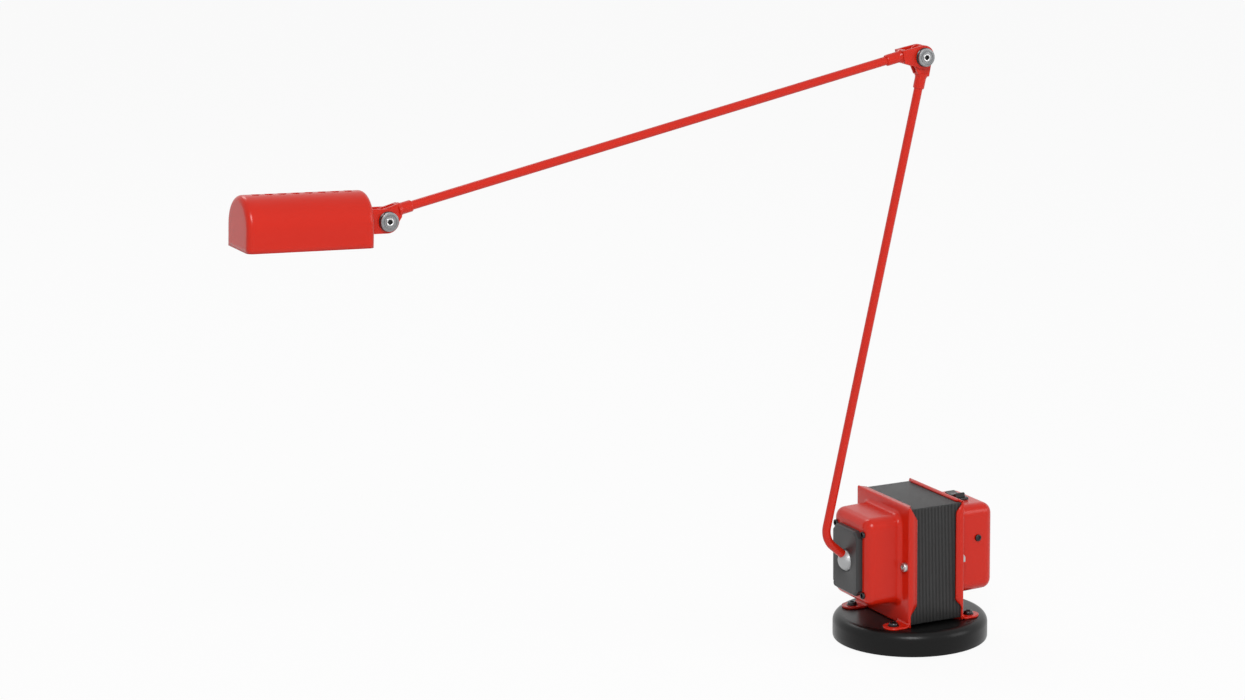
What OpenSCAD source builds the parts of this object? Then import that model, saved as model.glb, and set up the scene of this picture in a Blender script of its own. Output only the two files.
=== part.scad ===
// Architect desk lamp: a transformer on an iron disc, a ball joint, two thin arms and a half-round shade.
// Millimetres. +X runs from the front cover (ball joint) to the back cover (switch), +Z is up, and the
// arms lie in the plane y = 0. The origin is the centre of the foot pad's underside.

/* [Base] */
// Diameter of the iron disc
disc_d = 110; // [106:1:140]
// Height of the disc's top above the table
disc_top = 18; // [14:0.5:26]
// Radius of the disc's upper edge
disc_edge_r = 6.5; // [1:0.5:7]
// Thickness of the foot pad
pad_t = 2; // [1.5:0.1:4]
// How far the foot pad stands out below the disc
pad_proud = 0.6; // [0.3:0.1:1.4]
// Width of the disc's rim outside the foot pad
pad_rim = 6; // [3:0.5:12]

/* [Transformer core] */
// Size of the core plates across the lamp (Y)
core_w = 70; // [64:1:84]
// Height of the core plates (Z)
core_h = 84; // [78:1:100]
// Thickness of the stack of plates (X)
core_t = 42; // [34:1:50]
// Number of plate bundles that show on the stack's faces
core_lines = 36; // [12:1:40]
// Depth of the line between two bundles
core_line_depth = 0.3; // [0.1:0.05:0.6]

/* [Covers] */
// Thickness of the cover sheet
sheet_t = 1.5; // [1:0.1:2]
// Depth of the lips that wrap the stack's sides
side_lip = 5; // [3:0.5:8]
// Depth of the lips over and under the stack
top_lip = 3; // [2:0.5:6]
// Width of each cover's box
box_w = 51; // [48:1:55]
// Height of the box's top below the cover's top
box_drop = 8; // [5:0.5:12]
// Height of the box's underside above the cover's foot
box_lift = 15; // [13:0.5:16]
// Depth of the front box
front_box_d = 26.5; // [26:0.5:32]
// Depth of the back box
back_box_d = 31.5; // [28:0.5:38]
// Radius of the box's edges
box_r = 6; // [3:0.5:8]
// Radius of a foot ear
ear_r = 7.5; // [6.5:0.5:8.5]
// Distance of a foot screw from its flange
ear_reach = 8; // [7:0.5:10]

/* [Ball joint] */
// Radius of the ball
ball_r = 8.2; // [7.6:0.1:8.8]
// Height of the ball's centre above the disc's top
ball_lift = 44.8; // [40:0.1:50]
// Depth of the ball's centre behind the plate's face
ball_depth = 3.9; // [3.5:0.1:4.3]
// Thickness of the ball plate
plate_t = 4.4; // [4:0.1:6]
// Width of the ball plate
plate_w = 35; // [30:1:36]
// Height of the ball plate
plate_h = 47; // [44:1:48]

/* [Arms] */
// Diameter of the arm tubes
tube_d = 6; // [5:0.1:7]
// Wall of the arm tubes
tube_wall = 1; // [0.6:0.1:1.4]
// Length of the stub from the ball's centre to the corner of the bend
stub_len = 26.7; // [24:0.1:36]
// Angle of the stub above the horizontal
stub_angle = 41; // [30:0.5:42]
// Radius of the bend's centre line
bend_r = 15; // [10:0.5:18]
// Length of the lower arm from the corner of the bend to the elbow
lower_len = 343; // [240:1:460]
// Backward lean of the lower arm at rest
lower_lean = 13.41; // [0:0.5:24]
// Length of the upper arm from elbow to head pivot
upper_len = 406.6; // [260:1:520]
// Droop of the upper arm at rest
upper_droop = 11.06; // [0:0.5:20]
// Distance of a tube's axis from its pivots, away from the inside of the elbow
arm_lift = 4; // [0:0.5:4.5]

/* [Pivots] */
// Radius of the round ends of the fork cheeks
cheek_r = 8; // [7.5:0.5:10]
// Thickness of the fork cheeks
cheek_t = 1.5; // [1:0.1:2]
// Outside width of an inner fork
fork_in_w = 7.2; // [7:0.1:9]
// Diameter of the pivot bolts
bolt_d = 4; // [3:0.5:4]
// Diameter of the metal caps on the pivots
cap_d = 12.6; // [11:0.2:15]

/* [Head] */
// Length of the shade
shade_len = 86; // [78:1:120]
// Width of the shade
shade_w = 40; // [36:1:50]
// Height of the shade's straight sides
shade_skirt = 14.5; // [12:0.5:20]
// Wall of the shade
shade_wall = 1.2; // [0.8:0.1:1.6]
// Radius of the shade's end edges
shade_edge_r = 4; // [2:0.5:5]
// Distance from the head pivot to the shade's end
shade_gap = 14; // [13.5:0.5:18]
// Upward tilt of the head at rest
head_tilt = 2.7; // [-10:0.1:20]
// Number of vent holes along the crest
vent_n = 8; // [4:1:9]
// Distance between vent holes
vent_pitch = 8.9; // [8:0.1:12]

/* [Hidden] */
$fn = 48;

// Clearances
eps = 0.01;          // overlap that makes a cut run right through
slip = 0.05;         // between a fixed piece and its hole
run = 0.08;          // radial clearance of a running fit
ball_gap = 0.3;      // between the ball and its seats
face_gap = 0.1;      // between flat faces that slide on each other

// Heights and planes of the transformer
foot_z = disc_top;
core_z0 = foot_z + sheet_t;
core_z1 = core_z0 + core_h;
cover_z1 = core_z1 + sheet_t;
mid_z = (core_z0 + core_z1) / 2;
core_x = core_t / 2;
flange_x = core_x + sheet_t;
lip_gap = 0.15;
flange_y = core_w / 2 + lip_gap + sheet_t;
leg = core_w / 5;                    // width of a core limb
box_z0 = foot_z + box_lift;
box_z1 = cover_z1 - box_drop;
front_x = -(flange_x + front_box_d); // outside face of the front box
back_x = flange_x + back_box_d;      // outside face of the back box
tie_y = core_w / 2 - 3.5;
tie_r = 2;
ear_x = flange_x + ear_reach;
ear_y = flange_y - ear_r;
foot_r = 2;

// Coil
bobbin_wall = 1;
window_h = core_h / 2 - 2 * leg;     // height of a core window
coil_y = core_w / 2 - leg;           // half length of the window
primary_t = window_h * 0.3;
secondary_t = window_h * 0.24;
tape_t = 0.4;
coil_x = core_x + 0.4;               // inside of the bobbin's tube
coil_z = leg + 0.2;
bobbin_y = coil_y - 0.3;             // half length of the bobbin
winding_y = bobbin_y - bobbin_wall - face_gap;
wind_x0 = coil_x + bobbin_wall + slip;
wind_z0 = coil_z + bobbin_wall + slip;
wind_x1 = wind_x0 + primary_t + secondary_t + 2 * slip;
wind_z1 = wind_z0 + primary_t + secondary_t + 2 * slip;
coil_x1 = wind_x1 + tape_t;          // outside of the finished coil
fuse_r = 1.8;

// Ball joint
ball_x = front_x - plate_t + ball_depth;
ball_z = foot_z + ball_lift;
ball_c = [ball_x, 0, ball_z];
seat_r = ball_r + ball_gap;
seat_edge = 68;                      // angle of the seat's edge from the joint's axis
seat_lip = 0.3;                      // width of the small faces beside the seat
cup_r = 6.5;
cup_back = ball_x + ball_r + 2.1;
spring_t = 1.7;
bridge_x = cup_back + spring_t + face_gap;
lead_hole_r = 2.5;
screw_y = plate_w / 2 + 1.3;
screw_z = plate_h / 2 - 1.5;
plate_mid_z = ball_z + 0.5;
stud_z = plate_h / 2 - 5;
m3_r = 1.5;                          // radius of the small screws
m3_hole = m3_r + 0.15;
m3_head_r = 2.4;
bracket_x = front_x + sheet_t + 0.6; // clear of the box's round inside corners
bracket_t = 1.5;

// Arm geometry
tube_r = tube_d / 2;
bore_r = tube_r - tube_wall;
wire_r = bore_r - 0.5;
bend_turn = 90 + lower_lean - stub_angle;
bend_run = bend_r * tan(bend_turn / 2);
corner = ball_c + stub_len * [-cos(stub_angle), 0, sin(stub_angle)];
elbow_c = corner + lower_len * [sin(lower_lean), 0, cos(lower_lean)]
        - arm_lift * [cos(lower_lean), 0, -sin(lower_lean)];
head_c = elbow_c + upper_len * [-cos(upper_droop), 0, -sin(upper_droop)];
stub_stop = 1;                       // the tube's end stays this far from the ball's centre

// Pivots
bolt_r = bolt_d / 2;
in_y = fork_in_w / 2;
disc_t = 0.6;
out_y0 = in_y + disc_t + face_gap;   // inside of an outer cheek
out_y1 = out_y0 + cheek_t;
bush_t = 2.4;
bush_wall = 0.9;
collar_r = cap_d / 2 + 0.2;
cap_t = 1.3;
cap_y0 = out_y1 + bush_t;
cap_y1 = cap_y0 + cap_t;
head_seat_r = 2.7;
step_t = 0.4;                        // small steps and bevels on the caps and bolts
neck_r = 1.1;                        // radius of the nut's threaded neck
shoulder_h = 4.5;
bridge_d = 3;
sleeve_r = tube_r + 0.9;
sleeve_bevel = 0.6;
elbow_in_reach = 12.5;
elbow_in_sleeve = 22;
elbow_out_reach = 15.5;
elbow_out_sleeve = 27;
head_in_reach = 11;
head_in_sleeve = 20;

// Head
shade_r = shade_w / 2;
shade_x1 = -shade_gap;
shade_x0 = shade_x1 - shade_len;
vent_size = [5.8, 5.8];
vent_r = 2.8;
reflector_r = shade_r - shade_wall - 1.6;
reflector_t = 0.6;
reflector_x = [shade_x0 + 6, shade_x1 - 6];
holder_size = [13, 15, 9];
holder_x1 = shade_x1 - shade_wall - face_gap;
bulb_r = 5.6;
bulb_z = 1;
bulb_len = 40;
pin_gap = 6.35;
pin_r = 0.5;
lead_r = 1.3;
foot_len = 9;                        // length of the bulb's flat foot
holder_screw_z = 5;

// Switch
rocker_size = [7.6, 14.6];
rocker_swing = 6;
switch_x = flange_x + 14.5;
switch_y = 0;
switch_c = [switch_x, switch_y, box_z1];
switch_body = [10.2, 17.4];
bezel = [11.6, 19, 1.6];
switch_wall = 0.95;
switch_drop = 9.5;
contact_dx = 2;
contact_size = [3, 0.8];
contact_drop = 5;
contact_pitch = 5;

// Inlet and terminal block
grommet_z = box_z0 + 15;
grommet_r = 5.5;
cord_r = 3.4;
block_size = [13, 10, 12];
clamp_x = 4;                         // distance of a wire clamp from the block's middle
block_c = [back_x - 13.5, (block_size[1] - box_w) / 2 + sheet_t + slip, foot_z + 55];
mains_r = 0.9;                       // radius of a mains wire
lamp_r = 0.8;                        // radius of a low-voltage wire

// Screw heads
pan_r = 4;
pan_h = 2.4;
foot_screw_len = 8;
tie_head_r = 3.4;
tie_head_h = 2.4;
tie_nut_h = 2.2;

// ---------- shapes used by several pieces ----------

// Rectangle with round corners, centred
module round_rect(w, h, r) {
    square([w - 2 * r, h], center = true);
    square([w, h - 2 * r], center = true);
    for (x = [-1, 1], y = [-1, 1])
        translate([x * (w / 2 - r), y * (h / 2 - r)]) circle(r);
}

// Rectangle with cut corners, centred
module cut_rect(w, h, c) {
    polygon([[w / 2 - c, h / 2], [w / 2, h / 2 - c], [w / 2, c - h / 2], [w / 2 - c, -h / 2],
             [c - w / 2, -h / 2], [-w / 2, c - h / 2], [-w / 2, h / 2 - c], [c - w / 2, h / 2]]);
}

// Box from x = 0 to x = d, centred in Y and Z, with round edges along all three axes
module soft_box(d, w, h, r) {
    intersection() {
        rotate([90, 0, 90]) linear_extrude(d) round_rect(w, h, r);
        translate([0, 0, -h / 2]) linear_extrude(h) round_rect(2 * d, w, r);
        rotate([90, 0, 0]) linear_extrude(w, center = true) round_rect(2 * d, h, r);
    }
}

// Cylinder along +X from x = a to x = b
module rod_x(r, a, b) {
    translate([a, 0, 0]) rotate([0, 90, 0]) cylinder(r = r, h = b - a);
}

// Cylinder along +Y from y = a to y = b
module rod_y(r, a, b) {
    translate([0, a, 0]) rotate([-90, 0, 0]) cylinder(r = r, h = b - a);
}

// Where a line from p touches the cheek's round end, on its upper (1) or lower (-1) side
function touch(p, side) =
    let (a = atan2(p[1], p[0]) + side * acos(cheek_r / norm(p)))
    (cheek_r - eps) * [cos(a), sin(a)];

// Outline of a fork cheek: a round end at the pivot, tangents to a narrower shoulder at x = reach
module cheek_outline(reach, lift) {
    high = [reach, lift + shoulder_h];
    low = [reach, lift - shoulder_h];
    circle(cheek_r);
    polygon([touch(high, 1), high, low, touch(low, -1)]);
}

// A cheek between y0 and y1 on both sides of the middle plane
module cheeks(reach, lift, y0, y1) {
    for (s = [-1, 1])
        translate([0, s * (y0 + y1) / 2, 0]) rotate([90, 0, 0])
            linear_extrude(y1 - y0, center = true) cheek_outline(reach, lift);
}

// Fork with a sleeve for the tube; the pivot is at the origin and the arm runs along +X, lifted along Z
module fork(reach, sleeve_end, y_in, y_out, hole_r, lift) {
    difference() {
        union() {
            cheeks(reach, lift, y_in, y_out);
            translate([reach - bridge_d, -y_out, lift - shoulder_h])
                cube([bridge_d, 2 * y_out, 2 * shoulder_h]);
            translate([0, 0, lift]) {
                rod_x(sleeve_r, reach - bridge_d, sleeve_end - sleeve_bevel);
                translate([sleeve_end - sleeve_bevel, 0, 0]) rotate([0, 90, 0])
                    cylinder(r1 = sleeve_r, r2 = sleeve_r - sleeve_bevel, h = sleeve_bevel);
            }
        }
        translate([0, 0, lift]) rod_x(tube_r + slip, reach - bridge_d - eps, sleeve_end + eps);
        rod_y(hole_r, -y_out - eps, y_out + eps);
    }
}

// Thin discs on the outside of an inner fork's cheeks
module friction_discs() {
    for (s = [-1, 1]) mirror([0, s < 0 ? 1 : 0, 0]) difference() {
        rod_y(cheek_r - 1.5, in_y, in_y + disc_t);
        rod_y(bolt_r + run, in_y - eps, in_y + disc_t + eps);
    }
}

// Collared bushes in the holes of the outer cheeks
module bushes() {
    for (s = [-1, 1]) mirror([0, s < 0 ? 1 : 0, 0]) difference() {
        union() {
            rod_y(collar_r, out_y1, cap_y0);
            rod_y(bolt_r + bush_wall, out_y0, out_y1);
        }
        rod_y(bolt_r + slip, out_y0 - eps, cap_y0 + eps);
    }
}

// Turned metal caps outside the bushes, with a seat for the bolt's head and a shallow ring groove
module caps() {
    groove = cap_d / 2 - 2;
    for (s = [-1, 1]) mirror([0, s < 0 ? 1 : 0, 0]) difference() {
        union() {
            rod_y(cap_d / 2, cap_y0, cap_y1 - step_t);
            translate([0, cap_y1 - step_t, 0]) rotate([-90, 0, 0])
                cylinder(r1 = cap_d / 2, r2 = cap_d / 2 - step_t, h = step_t);
        }
        rod_y(head_seat_r + slip, cap_y0 + step_t, cap_y1 + eps);
        rod_y(bolt_r + slip, cap_y0 - eps, cap_y1);
        difference() {
            rod_y(groove, cap_y1 - 0.3, cap_y1 + eps);
            rod_y(groove - 0.7, cap_y1 - 0.4, cap_y1 + 2 * eps);
        }
    }
}

// Pivot bolt with a socket head at the near side (-Y)
module pivot_bolt() {
    difference() {
        union() {
            rod_y(bolt_r, -cap_y1, cap_y0 + step_t - eps);
            rod_y(head_seat_r, -cap_y1 - step_t, -cap_y0 - step_t);
        }
        translate([0, -cap_y1 - step_t - eps, 0]) rotate([-90, 0, 0]) cylinder(r = 1.75, h = 1.5, $fn = 6);
        rod_y(neck_r, cap_y0 - 4, cap_y0 + 1);
    }
}

// Binder nut in the far cap: its threaded neck goes into the bolt's end
module pivot_nut() {
    difference() {
        union() {
            rod_y(head_seat_r, cap_y0 + step_t, cap_y1 + step_t);
            rod_y(neck_r - slip, cap_y0 - 3, cap_y0 + step_t + eps);
        }
        translate([0, cap_y1, 0]) cube([2 * head_seat_r + 1, 1.2, 0.8], center = true);
    }
}

// ---------- base ----------

module base_disc() {
    h = foot_z - pad_proud;
    r = disc_d / 2;
    color("#1c1c1d") translate([0, 0, pad_proud]) difference() {
        rotate_extrude($fn = 96) {
            translate([0, 1]) square([r, h - disc_edge_r - 1]);
            square([r - disc_edge_r, h]);
            translate([r - disc_edge_r, h - disc_edge_r]) intersection() {
                circle(disc_edge_r);
                square(disc_edge_r);
            }
            polygon([[0, 0], [r - 1, 0], [r, 1], [0, 1]]);
        }
        translate([0, 0, -eps]) cylinder(r = r - pad_rim, h = pad_t - pad_proud + eps, $fn = 96);
        for (x = [-1, 1], y = [-1, 1])
            translate([x * ear_x, y * ear_y, h - foot_screw_len - 1])
                cylinder(r = foot_r + slip, h = foot_screw_len + 1 + eps);
    }
}

module base_pad() {
    color("#2b2b2b") cylinder(r = disc_d / 2 - pad_rim - 0.1, h = pad_t, $fn = 96);
}

// Pan-head screws through the foot ears
module foot_screws() {
    crown = 0.8;
    color("#3a3a3c") for (x = [-1, 1], y = [-1, 1])
        translate([x * ear_x, y * ear_y, core_z0]) difference() {
            union() {
                translate([0, 0, -foot_screw_len]) cylinder(r = foot_r, h = foot_screw_len + eps);
                cylinder(r = pan_r, h = pan_h - crown);
                translate([0, 0, pan_h - crown]) cylinder(r1 = pan_r, r2 = pan_r - 1, h = crown);
            }
            translate([0, 0, 1]) cylinder(r = 1.5, h = 2, $fn = 6);
        }
}

// ---------- transformer ----------

// Outline of one direction of the stack: a rectangle whose long sides carry the lines between bundles
function comb_side(half, up) = [for (i = [0:core_lines - 1])
    let (p = core_t / core_lines, x = -core_x + i * p, land = x + p * 0.74, q = half - core_line_depth)
    each i == core_lines - 1 ? [[x, up * half], [x + p, up * half]]
         : [[x, up * half], [land, up * half], [land, up * q], [x + p, up * q]]];

module comb(half) {
    top = comb_side(half, 1);
    low = comb_side(half, -1);
    polygon(concat(top, [for (i = [len(low) - 1:-1:0]) low[i]]));
}

// Whole stack of plates with its bolt holes, centred on the core
module plates() {
    difference() {
        intersection() {
            rotate([90, 0, 0]) linear_extrude(core_w + 2, center = true) comb(core_h / 2);
            linear_extrude(core_h + 2, center = true) comb(core_w / 2);
        }
        for (y = [-1, 1]) translate([0, y * tie_y, 0]) rod_x(tie_r + 0.2, -core_x - 1, core_x + 1);
    }
}

module core_e_stack() {
    color("#2f2f31") translate([0, 0, mid_z]) difference() {
        plates();
        translate([-core_x - 1, coil_y, -core_h]) cube([core_t + 2, core_w, 2 * core_h]);
        for (s = [-1, 1])
            translate([-core_x - 1, -coil_y, s * (leg + window_h / 2) - window_h / 2])
                cube([core_t + 2, 2 * coil_y + eps, window_h]);
    }
}

module core_i_stack() {
    color("#2f2f31") translate([0, 0, mid_z]) difference() {
        plates();
        translate([-core_x - 1, coil_y - core_w, -core_h]) cube([core_t + 2, core_w, 2 * core_h]);
    }
}

// Rectangular tube round the middle limb, from y = a to y = b
module coil_ring(x, z, t, half_y) {
    r = min(t + 0.3, 4);
    rotate([90, 0, 0]) linear_extrude(2 * half_y, center = true) difference() {
        round_rect(2 * (x + t), 2 * (z + t), r);
        square([2 * x, 2 * z], center = true);
    }
}

module coil_bobbin() {
    flange = primary_t + secondary_t + tape_t + 0.6;
    color("#d8d2c0") translate([0, 0, mid_z]) {
        coil_ring(coil_x, coil_z, bobbin_wall, bobbin_y);
        for (s = [-1, 1]) translate([0, s * (bobbin_y - bobbin_wall / 2), 0])
            coil_ring(coil_x + bobbin_wall - eps, coil_z + bobbin_wall - eps, flange, bobbin_wall / 2);
    }
}

module primary_winding() {
    color("#b86b2c") translate([0, 0, mid_z]) coil_ring(wind_x0, wind_z0, primary_t, winding_y);
}

module secondary_winding() {
    color("#c47a36") translate([0, 0, mid_z])
        coil_ring(wind_x0 + primary_t + slip, wind_z0 + primary_t + slip, secondary_t, winding_y);
}

module winding_tape() {
    color("#e3c84a") translate([0, 0, mid_z]) coil_ring(wind_x1, wind_z1, tape_t, winding_y);
}

// Thermal fuse standing against the back of the coil, with a stiff lead at each end
module thermal_fuse() {
    fuse_len = 9;
    lead_len = 17;
    color("#c9c9c9") translate([coil_x1 + fuse_r + face_gap, 6, mid_z + 8]) {
        cylinder(r = fuse_r, h = fuse_len, center = true);
        cylinder(r = fuse_r / 4, h = lead_len, center = true);
    }
}

// ---------- covers ----------

// One pressed cover on the +X side: flange, lips, foot ears and the hollow box
module cover(box_d) {
    h = cover_z1 - foot_z;
    chamfer = side_lip + 1;
    difference() {
        union() {
            translate([core_x, -flange_y, foot_z]) cube([sheet_t, 2 * flange_y, h]);
            for (s = [-1, 1]) mirror([0, s < 0 ? 1 : 0, 0]) {
                translate([0, flange_y - sheet_t, 0]) rotate([-90, 0, 0]) linear_extrude(sheet_t)
                    polygon([[core_x + eps, -foot_z - chamfer - 3],
                             [core_x - side_lip, -foot_z - 2 * chamfer - 4],
                             [core_x - side_lip, -cover_z1 + chamfer + 2], [core_x + eps, -cover_z1 + 1]]);
                translate([0, 0, foot_z]) linear_extrude(sheet_t) {
                    translate([ear_x, ear_y]) circle(ear_r);
                    translate([core_x, ear_y - ear_r]) square([ear_x - core_x, 2 * ear_r]);
                }
            }
            for (z = [foot_z, core_z1]) translate([0, 0, z]) linear_extrude(sheet_t)
                polygon([[core_x + eps, -flange_y + 3], [core_x - top_lip, -flange_y + 3 + top_lip],
                         [core_x - top_lip, flange_y - 3 - top_lip], [core_x + eps, flange_y - 3]]);
            translate([core_x + eps, 0, (box_z0 + box_z1) / 2])
                soft_box(box_d + sheet_t - eps, box_w, box_z1 - box_z0, box_r);
        }
        translate([core_x - 1, 0, (box_z0 + box_z1) / 2])
            soft_box(box_d + 1, box_w - 2 * sheet_t, box_z1 - box_z0 - 2 * sheet_t, box_r - sheet_t);
        for (s = [-1, 1]) {
            translate([0, s * tie_y, mid_z]) rod_x(tie_r + 0.15, core_x - 1, flange_x + 1);
            translate([ear_x, s * ear_y, foot_z - 1]) cylinder(r = foot_r + 0.2, h = sheet_t + 2);
        }
    }
}

// Places a child at each of the four screws round the ball plate
module at_cover_screws() {
    for (y = [-1, 1], z = [-1, 1]) translate([0, y * screw_y, plate_mid_z + z * screw_z]) children();
}

// Places a child at the two studs on the back of the ball plate
module at_studs() {
    for (s = [-1, 1]) translate([0, 0, plate_mid_z + s * stud_z]) children();
}

module front_cover() {
    color("#c8301f") difference() {
        mirror([1, 0, 0]) cover(front_box_d);
        translate([0, 0, ball_z]) rod_x(seat_r + 1.5, front_x - 1, front_x + 4);
        at_cover_screws() rod_x(m3_hole, front_x - 1, front_x + 4);
        at_studs() rod_x(m3_hole, front_x - 1, front_x + 4);
    }
}

module back_cover() {
    color("#c8301f") difference() {
        cover(back_box_d);
        translate([switch_x, switch_y, box_z1 - 4])
            linear_extrude(6) square([switch_body[0] + 0.2, switch_body[1] + 0.2], center = true);
        translate([0, 0, grommet_z]) rod_x(grommet_r, back_x - 4, back_x + 1);
        translate([block_c[0], 0, block_c[2]]) rod_y(m3_hole, -box_w / 2 - 1, -box_w / 2 + 4);
    }
}

// Bolts that run through both covers and the stack
module tie_bolts() {
    color("#8d8f92") for (s = [-1, 1]) translate([0, s * tie_y, mid_z]) difference() {
        union() {
            rod_x(tie_r, -flange_x, flange_x + tie_nut_h + 0.5);
            rod_x(tie_head_r, -flange_x - tie_head_h, -flange_x);
        }
        translate([-flange_x - tie_head_h - eps, 0, 0]) rotate([0, 90, 0]) cylinder(r = 1.6, h = 1.4, $fn = 6);
    }
}

module tie_nuts() {
    color("#8d8f92") for (s = [-1, 1]) translate([flange_x, s * tie_y, mid_z]) difference() {
        rotate([0, 90, 0]) cylinder(r = tie_head_r, h = tie_nut_h, $fn = 6);
        rod_x(tie_r + slip, -1, tie_nut_h + 1);
    }
}

// ---------- ball joint ----------

// Black plate with bevelled edges, a ball seat, and two studs that go through the front box
module ball_plate() {
    bevel = 1.2;
    depth = 2 * (plate_t + bevel);
    edge_x = ball_x - seat_r * cos(seat_edge);
    edge_r = seat_r * sin(seat_edge);
    color("#4a4a4b") {
        difference() {
            translate([front_x, 0, plate_mid_z]) intersection() {
                rotate([90, 0, 90]) linear_extrude(2 * plate_t, center = true) cut_rect(plate_w, plate_h, 4.5);
                linear_extrude(plate_h, center = true) intersection() {
                    translate([-plate_t + depth / 2, 0]) cut_rect(depth, plate_w, bevel);
                    translate([-plate_t - 1, -plate_w]) square([plate_t + 1, 2 * plate_w]);
                }
                rotate([90, 0, 0]) linear_extrude(plate_w, center = true)
                    translate([-plate_t + depth / 2, 0]) cut_rect(depth, plate_h, bevel);
            }
            translate(ball_c) rotate([0, 90, 0]) sphere(seat_r, $fn = 72);
            translate([edge_x + seat_lip, 0, ball_z]) rotate([0, -90, 0])
                cylinder(r1 = edge_r - seat_lip, r2 = edge_r + 2, h = 2 + seat_lip);
            translate([0, 0, ball_z]) rod_x(seat_r + seat_lip, ball_x + 2 * seat_lip, front_x + 1);
        }
        at_studs() rod_x(m3_r, front_x - eps, front_x + 6);
    }
}

module plate_nuts() {
    color("#8d8f92") at_studs() difference() {
        translate([bracket_x, 0, 0]) rotate([0, 90, 0]) cylinder(r = 3.1, h = 2.4, $fn = 6);
        rod_x(m3_r + slip, bracket_x - 1, bracket_x + 4);
    }
}

// Socket screws beside the plate's corners, into the bracket behind the box's face
module cover_screws() {
    head_h = 1.4;
    color("#77787a") at_cover_screws() difference() {
        union() {
            rod_x(m3_r, front_x, bracket_x + 3);
            rod_x(m3_head_r, front_x - head_h, front_x);
        }
        translate([front_x - head_h - eps, 0, 0]) rotate([0, 90, 0]) cylinder(r = 1.35, h = 1.2, $fn = 6);
    }
}

// Steel bracket: a face plate behind the cover and a bridge that backs the ball's spring
module seat_bracket() {
    leg_y = 12.5;
    leg_h = 16;
    low = plate_mid_z - screw_z - 3;
    high = plate_mid_z + screw_z + 3;
    half_w = screw_y + m3_head_r;
    color("#9a9c9e") difference() {
        union() {
            translate([bracket_x, -half_w, low]) cube([bracket_t, 2 * half_w, high - low]);
            for (s = [-1, 1]) translate([bracket_x, s * leg_y - bracket_t / 2, ball_z - leg_h / 2])
                cube([bridge_x + bracket_t - bracket_x, bracket_t, leg_h]);
            translate([bridge_x, -leg_y - bracket_t / 2, ball_z - leg_h / 2])
                cube([bracket_t, 2 * leg_y + bracket_t, leg_h]);
        }
        translate([0, 0, ball_z]) rod_x(seat_r + 2, bracket_x - 1, bracket_x + bracket_t + eps);
        translate([0, 0, ball_z]) rod_x(lead_hole_r, bridge_x - 1, bridge_x + 4);
        at_cover_screws() rod_x(m3_r + slip, bracket_x - 1, bracket_x + 3);
        at_studs() rod_x(4, bracket_x - 1, bracket_x + 3);
    }
}

// Cone spring between the bridge and the cup
module cup_spring() {
    t = 0.6;
    color("#b5b7b9") translate([cup_back + face_gap, 0, ball_z]) rotate([0, 90, 0]) rotate_extrude()
        polygon([[3, 0], [3, t], [6, spring_t - face_gap], [6, spring_t - face_gap - t]]);
}

// Nylon cup that presses on the back of the ball
module ball_cup() {
    color("#e8e6dc") difference() {
        translate([0, 0, ball_z]) rod_x(cup_r, ball_x + 5.2, cup_back);
        translate(ball_c) sphere(seat_r, $fn = 72);
        translate([0, 0, ball_z]) rod_x(lead_hole_r, ball_x, cup_back + 1);
    }
}

// Turns children so that +X points from the ball's centre out along the stub
module along_stub() {
    translate(ball_c) rotate([0, 180 + stub_angle, 0]) children();
}

module ball() {
    color("#b9babb") difference() {
        translate(ball_c) sphere(ball_r, $fn = 72);
        along_stub() rod_x(tube_r + run, stub_stop - 0.3, ball_r + 1);
        along_stub() rod_x(bore_r, -1, stub_stop);
        along_stub() rotate([0, 180, 0]) rod_x(bore_r, 0, ball_r + 1);
    }
}

// ---------- switch, inlet and wiring in the covers ----------

module switch_frame() {
    cavity = [switch_body[0] - 2 * switch_wall, switch_body[1] - 2 * switch_wall];
    color("#151515") translate(switch_c) difference() {
        union() {
            linear_extrude(bezel[2]) round_rect(bezel[0], bezel[1], 1.2);
            translate([0, 0, -switch_drop]) linear_extrude(switch_drop + eps)
                square(switch_body, center = true);
        }
        translate([0, 0, 1.5 - switch_drop]) linear_extrude(switch_drop + 3) square(cavity, center = true);
        for (s = [-1, 0, 1]) translate([contact_dx, s * contact_pitch, -switch_drop - 1])
            linear_extrude(4) square(contact_size + [2 * slip, 2 * slip], center = true);
        rod_x(1 + run, -switch_body[0] / 2 - 1, switch_body[0] / 2 + 1);
    }
}

// Rocker with two sloping faces; its near end stands up at rest
module switch_rocker() {
    half = rocker_size[1] / 2;
    color("#101010") translate(switch_c) rotate([-rocker_swing, 0, 0]) {
        rotate([90, 0, 90]) linear_extrude(rocker_size[0], center = true)
            polygon([[-half, 4.4], [-half * 0.5, 3.1], [0, 2.7], [half * 0.5, 3.1], [half, 4.4],
                     [half, -1.6], [3, -5.6], [-3, -5.6], [-half, -1.6]]);
        rod_x(1, -switch_body[0] / 2, switch_body[0] / 2);
    }
}

// Three flat contacts under the switch
module switch_contacts() {
    color("#c9a24a") for (s = [-1, 0, 1])
        translate(switch_c + [contact_dx, s * contact_pitch, -switch_drop - contact_drop])
            linear_extrude(contact_drop + 2.2) square(contact_size, center = true);
}

module terminal_block() {
    color("#e6e4dc") translate(block_c) difference() {
        cube(block_size, center = true);
        for (s = [-1, 1]) translate([s * clamp_x, 0, 0]) {
            cylinder(r = 1.6, h = block_size[2] + 2, center = true);
            rod_y(1.2, 0, block_size[1]);
        }
        rod_y(m3_r + slip, -block_size[1], block_size[1]);
    }
}

module terminal_screw() {
    head_h = 1.2;
    color("#101010") translate([block_c[0], -box_w / 2, block_c[2]]) difference() {
        union() {
            rod_y(m3_r, 0, 9);
            rod_y(m3_head_r, -head_h, 0);
        }
        rod_y(0.8, -head_h - eps, -head_h / 3);
    }
}

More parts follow.
